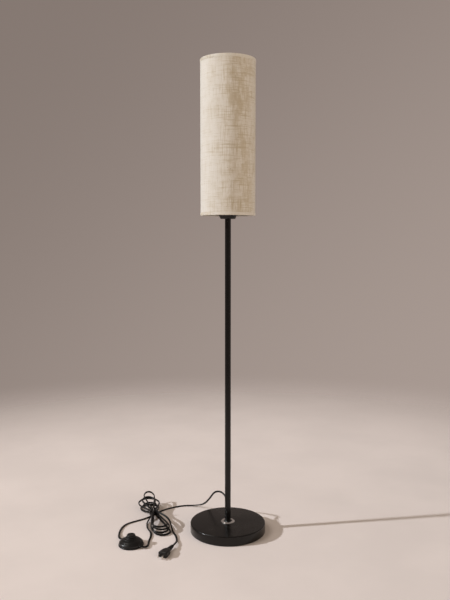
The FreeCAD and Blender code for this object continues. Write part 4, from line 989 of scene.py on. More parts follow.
@dataclass
class Hank:
    """The lead's spare length, folded to and fro and tied at its waist."""

    waist: Pair = (-240.0, 106.0)
    heading_deg: float = 107.5
    layer: float = 6.35
    waist_height: float = 11.2
    waist_row: float = 3.1
    outer_column: float = 9.1
    inner_column: float = 3.2
    top_row: float = 5.1
    upper_reach: tuple[float, ...] = (102.0, 95.0, 111.0, 104.0, 118.0)
    upper_half: tuple[float, ...] = (30.0, 23.0, 34.5, 21.0, 17.0)
    upper_lean_deg: tuple[float, ...] = (1.0, 2.0, 0.0, 0.0, 3.0)
    upper_rise: tuple[float, ...] = (0.0, 3.0, 6.0, 7.5, 13.5)
    lower_reach: tuple[float, ...] = (155.0, 150.0, 144.0, 138.0)
    lower_half: tuple[float, ...] = (25.5, 25.0, 25.0, 23.5)
    lower_shift: tuple[float, ...] = (0.0, -5.5, 0.0, -4.5)
    entry: Pair = (-63.0, -35.0)
    exit_side: Point = (-96.0, 32.0, 20.5)
    exit: Pair = (-146.0, 32.0)
    tail: float = 5.4
    spacing: float = 14.0
    pull: float = 1.12
    fewest_runs: int = 3
    floor_height: float = 2.9
    lie_deg: float = 90.0
    lie_sway_deg: float = 22.0

    def towards(self, along: float, across: float, climb: float = 0.0) -> Vector:
        """A direction of the hank on the lamp's floor."""
        turn = radians(self.heading_deg)
        c, s = cos(turn), sin(turn)
        return Vector((along * c + across * s, along * s - across * c, climb)).normalized()

    def place(self, along: float, across: float, z: float) -> Vector:
        """A point of the hank on the lamp's floor, from its place along and across the hank."""
        turn = radians(self.heading_deg)
        c, s = cos(turn), sin(turn)
        return Vector((self.waist[0] + along * c + across * s, self.waist[1] + along * s - across * c, z))

    def column(self, loop: int) -> float:
        """How far from the hank's line a loop's strands pass the tie."""
        return self.outer_column if loop in (0, 2) else self.inner_column

    def row(self, loop: int) -> float:
        """How high a loop's strands pass the tie."""
        last = len(self.upper_reach) - 1
        return self.waist_height + self.waist_row * (self.top_row if loop == last else loop)

    def loop_height(self, loop: int) -> float:
        """How high a loop lies."""
        return self.floor_height + self.layer * loop

    def stations(self, low: float) -> list[tuple[Vector, Vector]]:
        """Directed points that the strands pass through.

        Args:
            low: Height of the cord's middle on the floor.

        Returns:
            Place and direction of each.
        """
        found = [(self.place(*self.entry, low), self.towards(1.0, 0.12))]
        for loop, (reach, half) in enumerate(zip(self.upper_reach, self.upper_half)):
            crown = self.loop_height(loop) + self.upper_rise[loop]
            shoulder = self.loop_height(loop) + self.upper_rise[loop] / 2
            lean = radians(self.upper_lean_deg[loop])
            c, s = cos(lean), sin(lean)
            column, height = self.column(loop), self.row(loop)
            found.append((self.place(0, -column, height), self.towards(1, 0)))
            for (along, across), (ahead, aside), z in (
                ((reach - half, -half), (1, 0), shoulder), ((reach, 0), (0, 1), crown),
                ((reach - half, half), (-1, 0), shoulder),
            ):
                found.append((
                    self.place(along * c - across * s, along * s + across * c, z),
                    self.towards(ahead * c - aside * s, ahead * s + aside * c),
                ))
            found.append((self.place(0, column, height), self.towards(-1, 0)))
            if loop < len(self.lower_reach):
                half, reach, shift = self.lower_half[loop], self.lower_reach[loop], self.lower_shift[loop]
                z = self.loop_height(loop)
                found += [
                    (self.place(half - reach, half + shift, z), self.towards(-1, 0)),
                    (self.place(-reach, shift, z + self.layer * 0.25), self.towards(0, -1)),
                    (self.place(half - reach, shift - half, z + self.layer * 0.5), self.towards(1, 0)),
                ]
        found.append((self.place(*self.exit_side), self.towards(-1.0, 0.03, -0.2)))
        found.append((self.place(*self.exit, low), self.towards(-1.0, 0.08)))
        return found

    def stops(self, low: float) -> list[Stop]:
        """Control points of all the turns, worked out turn by turn.

        Args:
            low: Height of the cord's middle on the floor.

        Returns:
            The control points in order.
        """
        stations = self.stations(low)
        found = []
        for number, ((start, ahead), (end, onward)) in enumerate(zip(stations, stations[1:])):
            chord = (end - start).length
            pull = chord * self.pull
            runs = max(self.fewest_runs, round(chord / self.spacing))
            for step in range(runs):
                t = step / runs
                place = (
                    start * (2 * t**3 - 3 * t**2 + 1)
                    + ahead * pull * (t**3 - 2 * t**2 + t)
                    + end * (3 * t**2 - 2 * t**3)
                    + onward * pull * (t**3 - t**2)
                )
                lie = self.lie_deg + self.lie_sway_deg * sin(1.3 * number + 0.9 * t)
                found.append(Stop(*place, lie))
        found.append(Stop(*stations[-1][0], 80.0))
        return found


@dataclass
class Lead:
    """The mains lead: pole to foot switch, foot switch to hank, hank to plug."""

    switch: "FootSwitch"
    plug: "Plug"
    cord: Cord = field(default_factory=Cord)
    hank: Hank = field(default_factory=Hank)
    outlet: Point = (0.0, 31.0, 80.0)
    plug_run: float = 17.0

    def port(self, side: int, outside: float = 0.0) -> Point:
        """A point on a bushing's axis of the foot switch.

        Args:
            side: 1 for the outgoing cord, -1 for the incoming one.
            outside: How far outside the bushing's end it is.

        Returns:
            The point.
        """
        turn = radians(self.switch.axis_deg)
        reach = side * (self.switch.bushing_end + outside)
        return (
            self.switch.centre[0] + reach * cos(turn),
            self.switch.centre[1] + reach * sin(turn),
            self.switch.cord_height,
        )

    def to_switch(self) -> list[Stop]:
        """Out of the sleeve, over an arch, along the floor and into the foot switch."""
        low = self.cord.flat_rest
        x, y, z = self.outlet
        return [
            Stop(x, y, z, 90.0), Stop(x, y + 11, z - 1.5, 90.0), Stop(-4, 60, 80, 90.0),
            Stop(-18, 79, 94.5, 85.0), Stop(-42, 105, 86, 75.0), Stop(-58, 134, 52, 60.0),
            Stop(-78, 168, 18, 45.0), Stop(-108, 194, 4, 20.0), Stop(-146, 198, low), Stop(-182, 182, low),
            Stop(-218, 154, low), Stop(-241, 117, low), Stop(-266, 86, low), Stop(-299, 63, low),
            Stop(-321, 43.5, low), Stop(-330, 15, low), Stop(-331.8, -14, low), Stop(-330.3, -38, low + 0.9),
            Stop(-327.8, -57, 5.6), Stop(*self.port(-1, 11.5)), Stop(*self.port(-1)),
        ]

    def to_plug(self) -> list[Stop]:
        """Out of the foot switch, round a tight bend, through the hank and on to the plug."""
        flat, edge = self.cord.flat_rest, self.cord.edge_rest
        coil = self.hank.stops(edge)
        stations = self.hank.stations(edge)
        (first, ahead), (last, onward) = stations[0], stations[-1]
        turn = radians(self.plug.heading_deg)
        tail_x, tail_y, tail_z = self.plug.tail
        return [
            Stop(*self.port(1)), Stop(*self.port(1, 6.0)), Stop(-240.5, -128.5, 6.0, 30.0),
            Stop(-235.0, -118.0, 4.2, 50.0), Stop(-234.0, -100.0, edge, 55.0), Stop(-235.5, -78, 2.4, 30.0),
            Stop(-232.0, -47, flat, 10.0), Stop(-236.5, -14, flat, 10.0),
            Stop(*(first - ahead * (self.hank.tail + 22)), 60.0),
            *coil,
            Stop(*(last + onward * (self.hank.tail + 17)), 40.0), Stop(-153.5, -63, flat, 5.0),
            Stop(-151.5, -87, flat + 2.4, 0.0),
            Stop(tail_x - self.plug_run * cos(turn), tail_y - self.plug_run * sin(turn), tail_z, 0.0),
            Stop(tail_x, tail_y, tail_z, 0.0),
        ]

    def lay(self) -> dict[str, tuple[Piece, list[Vector]]]:
        """Make the two cords.

        Returns:
            Each cord and the points of its line, by name.
        """
        made = {}
        for name, stops in (("lead_pole_to_switch", self.to_switch()), ("lead_switch_to_plug", self.to_plug())):
            cord, path = self.cord.swept(self.cord.line(name + "_line", stops), name)
            made[name] = (cord, path)
        first, _ = made["lead_pole_to_switch"]
        fit(first, Finishes.CORD_JACKET, "cord_to_switch")
        second, _ = made["lead_switch_to_plug"]
        fit(second, Finishes.CORD_JACKET, "cord_to_hank", "cord_hank", "cord_to_plug")
        return made

    def declare(
        self,
        made: Mapping[str, tuple[Piece, list[Vector]]],
        on_switch: Sequence[Piece],
        on_plug: Sequence[Piece],
    ) -> None:
        """Log how long each cord is.

        Args:
            made: The cords and their lines.
            on_switch: The foot switch's pieces; not used.
            on_plug: The plug's pieces and the hank's tie; not used.
        """
        for name, exit_at, far_end, pieces in (
            ("lead_pole_to_switch", self.outlet, FarEnd.FITTING, on_switch),
            ("lead_switch_to_plug", self.port(1), FarEnd.PLUG, on_plug),
        ):
            cord, path = made[name]
            length = sum((b - a).length for a, b in zip(path, path[1:]))
            tuple(part * MM for part in exit_at)
            self.cord.width * MM
            log.info("%s is %.3f m long", name, length)


@dataclass
class HankTie:
    """Flat wire tie round the hank's waist, its two ends twisted together on top."""

    hank: Hank
    width: float = 6.0
    thickness: float = 1.2
    gap: float = 0.3
    cord_radius: float = 2.7
    peg_steps: int = 6
    tail_steps: int = 24
    wound: float = 0.45
    wound_height: float = 7.5
    wound_turns: float = 1.5
    wound_radius: float = 0.75
    tail_spread: float = 13.0
    tail_lean: float = 4.0
    tail_arch: float = 0.8
    tail_width: float = 0.85
    tail_thickness: float = 0.6

    def loop(self, offset: float) -> list[Pair]:
        """A closed line round the strands at the waist.

        Args:
            offset: How far it stays outside the strands' middles.

        Returns:
            (across, height) of its points.
        """
        hank = self.hank
        last = len(hank.upper_reach) - 1
        outer, inner = hank.outer_column, hank.inner_column
        low, mid, top = hank.row(0), hank.row(2), hank.row(last)
        pegs = [(-outer, low), (outer, low), (outer, mid), (inner, top), (-inner, top), (-outer, mid)]
        points = []
        for index, (x, y) in enumerate(pegs):
            here = Vector((x, y))
            back = (here - Vector(pegs[index - 1])).normalized()
            on = (Vector(pegs[(index + 1) % len(pegs)]) - here).normalized()
            start = math.atan2(-back.x, back.y)
            turn = math.acos(max(-1.0, min(1.0, back.dot(on))))
            for step in range(self.peg_steps + 1):
                angle = start + turn * step / self.peg_steps
                points.append((x + offset * cos(angle), y + offset * sin(angle)))
        return points

    def band(self) -> Piece:
        """The band itself."""
        inside, half = self.cord_radius + self.gap, self.width / 2
        outside = inside + self.thickness
        return lofted("hank_tie_band", [
            [(along, -across, height) for across, height in self.loop(offset)]
            for offset, along in ((inside, -half), (inside, half), (outside, half), (outside, -half))
        ], True)

    def tails(self) -> Piece:
        """The two twisted ends."""
        top = self.hank.row(len(self.hank.upper_reach) - 1) + self.cord_radius + self.gap + self.thickness / 2
        last = self.tail_steps
        parts = []
        for side in (-1, 1):
            spine = []
            for step in range(last + 1):
                wound = min(1.0, step / last / self.wound)
                free = max(0.0, step / last - self.wound)
                twist = 2 * pi * self.wound_turns * wound
                spread = self.wound_radius + free * self.tail_spread
                arch = self.tail_arch * sin(pi * free / (1.0 - self.wound))
                spine.append(Vector((
                    side * (spread * sin(twist) + free * self.tail_lean),
                    side * spread * cos(twist),
                    top + self.wound_height * wound + arch,
                )))
            rings = []
            for index, point in enumerate(spine):
                ahead = (spine[min(index + 1, last)] - spine[max(index - 1, 0)]).normalized()
                aside = ahead.cross(Vector((1.0, 0.3, 0.0))).normalized()
                upward = ahead.cross(aside)
                rings.append([
                    tuple(point + aside * self.tail_width * cos(a) + upward * self.tail_thickness * sin(a))
                    for a in angles(10)
                ])
            parts.append(lofted(f"hank_tie_tail_{side}", rings))
        return joined("hank_tie_tails", parts)

    def make(self) -> Piece:
        """Make the tie and set it round the hank's waist.

        Returns:
            The tie.
        """
        tie = joined("hank_wire_tie", [self.band(), self.tails()])
        placed(tie, Matrix.Translation((*self.hank.waist, 0.0)) @ about("Z", self.hank.heading_deg))
        return fit(tie, Finishes.BLACK_PLASTIC, "hank_tie")


# --- plug
@dataclass
class Plug:
    """Moulded two-blade plug with its ribbed strain relief."""

    tail: Point = (-161.6, -127.0, 8.5)
    heading_deg: float = -112.3
    relief: float = 27.0
    tip_radius: float = 3.9
    root_radius: float = 6.3
    ribs: int = 4
    rib_height: float = 0.9
    length: float = 35.0
    width: float = 28.0
    thickness: float = 17.0
    corner: float = 5.0
    blade_spacing: float = 12.7
    blade_width: float = 6.35
    blade_thickness: float = 1.5
    blade_length: float = 17.5
    blade_hole: float = 1.6
    blade_hole_from_tip: float = 4.0
    blade_bevel: float = 1.6

    @property
    def matrix(self) -> Matrix:
        """From the plug's own frame, whose X runs to its blades, to the lamp's."""
        return Matrix.Translation(self.tail) @ about("Z", self.heading_deg)

    def ring(self, x: float, width: float, thickness: float, corner: float, groove: float = 0.0) -> list[Point]:
        """A rounded oblong across the plug.

        Args:
            x: Where it is along the plug.
            width: Its width.
            thickness: Its thickness.
            corner: Its corners' radius.
            groove: How far the sides are drawn in.

        Returns:
            Its points.
        """
        half_w, half_t = width / 2, thickness / 2
        corner = min(corner, half_w - 0.1, half_t - 0.1)
        points = []
        for point in rounded(oblong(-half_w, half_w, -half_t, half_t, corner, corner, corner, corner), 8):
            side = max(0.0, abs(point.x) / half_w - 0.8) / 0.2
            level = max(0.0, 1.0 - (abs(point.y) / (0.36 * self.thickness)) ** 4)
            points.append((x, point.x - math.copysign(groove * min(1.0, side) * level, point.x), point.y))
        return points

    def grip(self) -> Piece:
        """The moulded grip: waisted at the cord, square at the face, with finger grooves."""
        start, end = self.relief, self.relief + self.length
        keys = [
            (start - 1.2, 0.40, 0.62, 0.24), (start, 0.50, 0.78, 0.33),
            (start + 0.12 * self.length, 0.68, 0.86, 0.32), (start + 0.30 * self.length, 0.86, 0.94, 0.30),
            (start + 0.62 * self.length, 0.94, 1.00, 0.30), (end - 2.4, 1.00, 1.00, 0.30),
            (end - 0.9, 0.985, 0.975, 0.28), (end, 0.90, 0.87, 0.23),
        ]
        rings = []
        for (x0, w0, t0, c0), (x1, w1, t1, c1) in zip(keys, keys[1:]):
            steps = max(2, round((x1 - x0) / 0.7))
            for step in range(steps):
                s = step / steps
                x = x0 + (x1 - x0) * s
                along = (x - start) / self.length
                groove = sum(
                    0.9 * max(0.0, 1.0 - ((along - at) / 0.036) ** 2) for at in (0.36, 0.50, 0.64)
                )
                rings.append(self.ring(
                    x,
                    self.width * (w0 + (w1 - w0) * s),
                    self.thickness * (t0 + (t1 - t0) * s),
                    self.thickness * (c0 + (c1 - c0) * s),
                    groove,
                ))
        x, w, t, c = keys[-1]
        rings.append(self.ring(x, self.width * w, self.thickness * t, self.thickness * c))
        return lofted("plug_grip", rings)

    def boot(self) -> Piece:
        """The tapering, ribbed strain relief."""
        corners: list[Corner] = [(0, 0, 0), (self.tip_radius, 0, 0.5)]
        pitch = self.relief / self.ribs
        for rib in range(self.ribs):
            r = self.tip_radius + (self.root_radius - self.tip_radius) * (rib + 0.5) / self.ribs
            at = pitch * rib
            corners += [
                (r - 0.1, at + 0.04 * pitch, 0.1), (r + self.rib_height, at + 0.12 * pitch, 0.4),
                (r + self.rib_height, at + 0.60 * pitch, 0.4), (r, at + 0.74 * pitch, 0.2),
                (r, at + 0.94 * pitch, 0.2),
            ]
        corners += [(self.root_radius, self.relief + 1.5, 0), (0, self.relief + 1.5, 0)]
        boot = turned("plug_boot", corners, 64, 3)
        return placed(boot, about("Y", 90))

    def blades(self) -> Piece:
        """Two flat blades with a hole near each tip."""
        half, length = self.blade_width / 2, self.blade_length
        outline = rounded(oblong(0.0, length, -half, half, 0, self.blade_bevel, self.blade_bevel, 0), 6)
        hole_x = length - self.blade_hole_from_tip
        hole = [(hole_x + self.blade_hole * cos(a), self.blade_hole * sin(a)) for a in angles(24)]
        parts = []
        for side in (-1, 1):
            build = bmesh.new()
            y = side * self.blade_spacing / 2
            rows = []
            for level in (y - self.blade_thickness / 2, y + self.blade_thickness / 2):
                rings = [[build.verts.new((x, level, z)) for x, z in ring] for ring in (outline, hole)]
                edges = [build.edges.new((ring[k - 1], ring[k])) for ring in rings for k in range(len(ring))]
                bmesh.ops.triangle_fill(build, use_beauty=True, edges=edges)
                rows.append(rings)
            for low, high in zip(*rows):
                bridge(build, [low, high], False)
            blade = object_from(f"plug_blade_{side}", build)
            parts.append(placed(blade, Matrix.Translation((self.relief + self.length - 0.4, 0, 0))))
        return joined("plug_contact_blades", parts)

    def make(self) -> list[Piece]:
        """Make the plug in its place.

        Returns:
            Its pieces.
        """
        body = placed(joined("plug_moulding", [self.grip(), self.boot()]), self.matrix)
        blades = placed(self.blades(), self.matrix)
        return [
            fit(body, Finishes.BLACK_PLASTIC, "plug_body"),
            fit(blades, Finishes.BLADE_METAL, "plug_blades"),
        ]


# --- foot switch
@dataclass
class FootSwitch:
    """Round foot switch: flanged base, domed cover with a stepped collar, push button."""

    centre: Pair = (-285.0, -102.0)
    axis_deg: float = -38.0
    flange_radius: float = 37.0
    flange_low: float = 0.8
    flange_top: float = 4.2
    flange_edge: float = 1.2
    side_radius: float = 35.2
    side_top: float = 9.8
    ridge_radius: float = 30.5
    ridge_height: float = 14.0
    ridge_rise: float = 1.3
    step_radius: float = 21.5
    step_height: float = 19.6
    step_rise: float = 1.4
    collar_radius: float = 16.0
    collar_top: float = 26.0
    wall: float = 2.2
    dome_bulge: float = 0.7
    ledge: float = 23.2
    bore_radius: float = 14.7
    button_hole: float = 13.1
    button_radius: float = 12.7
    button_top: float = 33.0
    button_edge: float = 2.4
    button_dish: float = 0.8
    lip_radius: float = 14.3
    lip_low: float = 21.1
    lip_top: float = 22.9
    pocket_radius: float = 8.5
    pocket_top: float = 27.1
    post_radius: float = 3.0
    seat_radius: float = 6.8
    seat_top: float = 7.2
    guide_radius: float = 3.2
    guide_top: float = 12.2
    pad_outer: float = 23.95
    pad_inner: float = 13.05
    pad_top: float = 1.6
    bushing_radius: float = 4.5
    bushing_root: float = 30.4
    bushing_end: float = 38.0
    cord_radius: float = 2.7
    cord_height: float = 7.4
    screws: int = 3
    screw_circle: float = 28.0
    screw_head: float = 2.7
    screw_head_low: float = 1.2
    screw_head_height: float = 1.8

    @property
    def matrix(self) -> Matrix:
        """From the switch's own frame to the lamp's."""
        return Matrix.Translation((*self.centre, 0.0)) @ about("Z", self.axis_deg)

    def bowed(self, start: Pair, end: Pair, bulge: float, steps: int = 14) -> list[Corner]:
        """Points of an arc between two points.

        Args:
            start: (radius, height) of its start.
            end: (radius, height) of its end.
            bulge: How far its middle stands off the chord.
            steps: How many runs it has.

        Returns:
            The points between its ends, as corners.
        """
        a, b = Vector(start), Vector(end)
        chord = b - a
        off = Vector((chord.y, -chord.x)).normalized()
        return [
            (*(a + chord * (k / steps) + off * bulge * (1 - (2 * k / steps - 1) ** 2)), 0.0)
            for k in range(1, steps)
        ]

    def cover(self) -> Piece:
        """The domed cover, with a notch for each bushing."""
        side, step = (self.side_radius, self.side_top), (self.step_radius, self.step_height)
        foot, crest = (self.ridge_radius, self.ridge_height), self.ridge_height + self.ridge_rise
        inner_side = (self.side_radius - self.wall, self.side_top - 0.8)
        inner_step = (self.step_radius - 1.0, self.step_height - self.wall)
        rim = self.step_height + self.step_rise
        corners: list[Corner] = [
            (inner_side[0], self.flange_top, 0), (self.side_radius, self.flange_top, 0), (*side, 0.9),
            *self.bowed(side, foot, self.dome_bulge), (*foot, 0.15), (self.ridge_radius - 0.4, crest, 0.5),
            *self.bowed((self.ridge_radius - 0.4, crest), step, self.dome_bulge), (*step, 0.25),
            (self.step_radius - 0.5, rim, 0.5), (self.collar_radius + 0.2, rim + 0.9, 0.5),
            (self.collar_radius - 0.6, self.collar_top, 0.9), (self.button_hole, self.collar_top, 0.35),
            (self.button_hole, self.ledge, 0), (self.bore_radius, self.ledge, 0),
            (self.bore_radius, self.step_height - 0.2, 0), (*inner_step, 0),
            *self.bowed(inner_step, inner_side, -self.dome_bulge), (*inner_side, 0),
        ]
        cover = turned("foot_switch_cover", corners, 160)
        for half_turn in (0, 180):
            notch = self.notch(self.bushing_radius + 0.05, 2.0)
            cover = cut_by(cover, placed(notch, about("Z", half_turn)))
        return cover

    def notch(self, radius: float, deeper: float) -> Piece:
        """An arched block that opens the cover's wall for a bushing.

        Args:
            radius: Radius of its arched top.
            deeper: How far it reaches below the cover's rim.

        Returns:
            The block, on the switch's X side.
        """
        arch = [(radius * cos(a), self.cord_height + radius * sin(a))
                for a in (pi * k / 20 for k in range(21))]
        arch += [(-radius, self.flange_top - deeper), (radius, self.flange_top - deeper)]
        rings = [[(x, y, z) for y, z in arch] for x in (self.side_radius - 8, self.flange_radius + 5)]
        return lofted("bushing_notch", rings)

    def bushing(self) -> Piece:
        """A tapered collar round the cord, flat where it stands on the base."""
        stations = [
            (self.bushing_root, self.bushing_radius), (self.side_radius + 0.2, self.bushing_radius),
            (self.side_radius + 0.7, self.bushing_radius - 0.25),
            (self.bushing_end - 0.3, self.cord_radius + 0.75), (self.bushing_end, self.cord_radius + 0.45),
        ]
        rings = []
        for x, radius in stations:
            rings.append([
                (x, radius * cos(a), max(self.flange_top + 0.02, self.cord_height + radius * sin(a)))
                for a in angles(48)
            ])
        return lofted("bushing", rings)

    def screw_set(self) -> Piece:
        """The screws that hold the cover, set round their circle by rule."""
        tree = GeometryTree("switch_screw_set", {
            "Screws": self.screws, "Circle": self.screw_circle * MM, "Head": self.screw_head * MM,
            "Height": self.screw_head_height * MM, "Low": self.screw_head_low * MM,
        })
        head, height = tree.size("Head"), tree.size("Height")
        ring = {"Vertices": tree.size("Screws"), "Radius": tree.size("Circle")}
        line = tree.add("GeometryNodeMeshCircle", None, ring)
        slot = tree.add("GeometryNodeMeshCube", None, {"Size": tree.joined(head * 1.7, head * 0.3, height * 0.8)})
        slotted = tree.add("GeometryNodeMeshBoolean", {"operation": "DIFFERENCE"}, {
            "Mesh 1": tree.cylinder(32, head, height),
            "Mesh 2": tree.moved(slot, 0.0, 0.0, height * -0.5),
        })
        shank = tree.moved(tree.cylinder(24, head * 0.5, height * 3.0), 0.0, 0.0, height * 2.0)
        copies = tree.copies(line, tree.merged(slotted, shank))
        tree.finish(tree.moved(copies, 0.0, 0.0, tree.size("Low") + height * 0.5), Finishes.ZINC)
        return placed(tree.run("foot_switch_screws"), about("Z", 90))

    def make(self) -> list[Piece]:
        """Make the foot switch in its place.

        Returns:
            Its pieces.
        """
        base = turned("foot_switch_base", [
            (0, self.flange_low, 0), (self.flange_radius, self.flange_low, self.flange_edge),
            (self.flange_radius, self.flange_top, self.flange_edge), (self.seat_radius, self.flange_top, 0),
            (self.seat_radius, self.seat_top, 0.2), (self.guide_radius, self.seat_top, 0),
            (self.guide_radius, self.guide_top, 0.8), (0, self.guide_top, 0),
        ], 160)
        slack = 0.05
        recess = oblong(self.pad_inner - slack, self.pad_outer + slack, -1, self.pad_top)
        base = cut_by(base, turned("pad_recess", recess, 96))
        for angle in angles(self.screws):
            recess = oblong(0, self.screw_head + 0.3, -1, self.screw_head_low + self.screw_head_height)
            reach = Matrix.Translation((-self.screw_circle * sin(angle), self.screw_circle * cos(angle), 0))
            base = cut_by(base, placed(turned("screw_recess", recess, 40), reach))
        bushings = joined("foot_switch_bushings", [self.bushing(), placed(self.bushing(), about("Z", 180))])
        sheet = oblong(self.pad_inner, self.pad_outer, 0, self.pad_top, 0.3, 0.3, 0, 0)
        pad = turned("foot_switch_pad", sheet, 96, 3)
        button = turned("foot_switch_button", [
            (0, self.pocket_top, 0), (self.post_radius, self.pocket_top, 0),
            (self.post_radius, self.lip_low, 0.4), (self.post_radius + 0.01, self.lip_low, 0),
            (self.post_radius + 0.01, self.pocket_top, 0), (self.pocket_radius, self.pocket_top, 0),
            (self.pocket_radius, self.lip_low, 0), (self.lip_radius, self.lip_low, 0.2),
            (self.lip_radius, self.lip_top, 0.2), (self.button_radius, self.lip_top, 0),
            (self.button_radius, self.button_top, self.button_edge),
            (self.button_radius - 5.0, self.button_top, 1.0),
            (self.button_radius - 7.0, self.button_top - self.button_dish, 1.0),
            (0, self.button_top - self.button_dish, 0),
        ], 128, 8)
        for piece in (base, pad, button, bushings):
            placed(piece, self.matrix)
        cover = placed(self.cover(), self.matrix)
        screws = placed(self.screw_set(), self.matrix)
        plastic = Finishes.BLACK_PLASTIC
        return [
            fit(base, plastic, "switch_base"),
            fit(cover, plastic, "switch_cover"),
            fit(bushings, plastic, "switch_bushings"),
            fit(pad, Finishes.FOAM, "switch_pad"),
            fit(screws, Finishes.ZINC, "switch_screws"),
            fit(button, plastic, "switch_button", body=Body.BUTTON),
        ]


# --- base
@dataclass
class Base:
    """Weighted round base: a spun steel cover over a cast weight."""

    radius: float = 115.0
    height: float = 30.0
    lift: float = 2.0
    sheet: float = 1.2
    edge_radius: float = 3.0
    hem: float = 6.0
    hem_radius: float = 1.0
    bolt_hole: float = 5.5

    def make(self) -> Piece:
        """Spin the cover, hemmed under at its lower edge.

        Returns:
            The cover.
        """
        inside = self.radius - self.sheet
        cover = turned("base_spun_cover", [
            (self.bolt_hole, self.height, 0), (self.radius, self.height, self.edge_radius),
            (self.radius, self.lift, self.hem_radius), (self.radius - self.hem, self.lift, 0.3),
            (self.radius - self.hem, self.lift + self.sheet, 0.3), (inside, self.lift + self.sheet, 0),
            (inside, self.height - self.sheet, self.edge_radius - self.sheet),
            (self.bolt_hole, self.height - self.sheet, 0),
        ], 192, 8)
        return fit(cover, Finishes.BLACK_PAINT, "base_cover")


@dataclass
class FootTrim:
    """Plated ring and black collar where the pole stands on the base."""

    seat: float = 30.0
    ring_inner: float = 12.7
    ring_outer: float = 21.0
    ring_height: float = 3.4
    collar_inner: float = 9.05
    collar_outer: float = 12.3
    collar_height: float = 3.0

    def make(self) -> list[Piece]:
        """Turn the ring and the collar.

        Returns:
            Both pieces.
        """
        top = self.seat + self.ring_height
        ring = turned("foot_plated_ring", [
            (self.ring_inner, self.seat, 0), (self.ring_inner, top, 1.4), (self.ring_outer - 3.0, top, 2.6),
            (self.ring_outer, self.seat + 0.35 * self.ring_height, 0.7), (self.ring_outer, self.seat, 0),
        ], 128, 8)
        collar = turned("foot_black_collar", [
            (self.collar_inner, self.seat, 0), (self.collar_inner, self.seat + self.collar_height, 0.2),
            (self.collar_outer, self.seat + self.collar_height, 0.9), (self.collar_outer, self.seat, 0),
        ], 96)
        return [
            fit(ring, Finishes.CHROME, "foot_ring"),
            fit(collar, Finishes.BLACK_PLASTIC, "foot_collar"),
        ]


# --- pole
@dataclass
class Pole:
    """Steel tube pole in three lengths, and the sleeve that lets the lead out."""

    radius: float = 9.0
    bore: float = 8.0
    foot: float = 30.0
    joints: Pair = (261.0, 622.0)
    top: float = 956.5
    chamfer: float = 0.35
    outlet_height: float = 80.0
    outlet_radius: float = 4.8
    flange_radius: float = 6.5
    flange_end: float = 10.8
    root_radius: float = 4.8
    tip_radius: float = 3.7
    sleeve_end: float = 31.0
    cord_bore: float = 2.75
    ribs: int = 4
    rib_depth: float = 0.6

    def tube(self, name: str, low: float, high: float) -> Piece:
        """One length of tube with broken edges."""
        c = self.chamfer
        return turned(name, [
            (self.bore, low, 0), (self.radius - c, low, 0), (self.radius, low + c, 0),
            (self.radius, high - c, 0), (self.radius - c, high, 0), (self.bore, high, 0),
        ], 96)

    def sleeve(self) -> Piece:
        """The ribbed tail round the lead, its flange shaped to the tube's back."""
        tail = self.sleeve_end - self.flange_end
        corners: list[Corner] = [
            (self.cord_bore, 6.2, 0), (self.flange_radius, 6.2, 0), (self.flange_radius, self.flange_end, 0.8),
            (self.root_radius, self.flange_end, 0.3),
        ]
        for rib in range(self.ribs):
            share = (rib + 0.5) / self.ribs
            radius = self.root_radius + (self.tip_radius - self.root_radius) * share
            at = self.flange_end + tail * share
            corners += [
                (radius, at - 1.0, 0.15), (radius - self.rib_depth, at - 0.9, 0.1),
                (radius - self.rib_depth, at + 0.9, 0.1), (radius, at + 1.0, 0.15),
            ]
        corners += [(self.tip_radius, self.sleeve_end, 0.5), (self.cord_bore, self.sleeve_end, 0)]
        sleeve = placed(turned("cord_outlet_sleeve", corners, 72, 3), about("X", -90))
        for vertex in sleeve.data.vertices:
            across = vertex.co.x / MM
            seat = math.sqrt(max(0.0, self.radius**2 - across**2)) + 0.03
            vertex.co.y = max(vertex.co.y, seat * MM)
        return placed(sleeve, Matrix.Translation((0, 0, self.outlet_height)))

    def make(self) -> list[Piece]:
        """Make the three tubes and the sleeve.

        Returns:
            The pieces.
        """
        spans = zip((self.foot, *self.joints), (*self.joints, self.top))
        pieces = []
        for name, (low, high) in zip(("lower", "middle", "upper"), spans):
            tube = self.tube(f"pole_{name}_tube", low, high)
            if name == "lower":
                drill = placed(turned("outlet_drill", oblong(0, self.outlet_radius, 2, 14), 48), about("X", -90))
                tube = cut_by(tube, placed(drill, Matrix.Translation((0, 0, self.outlet_height))))
            pieces.append(fit(tube, Finishes.BLACK_PAINT, f"pole_{name}"))
        pieces.append(fit(self.sleeve(), Finishes.BLACK_PLASTIC, "cord_sleeve"))
        return pieces


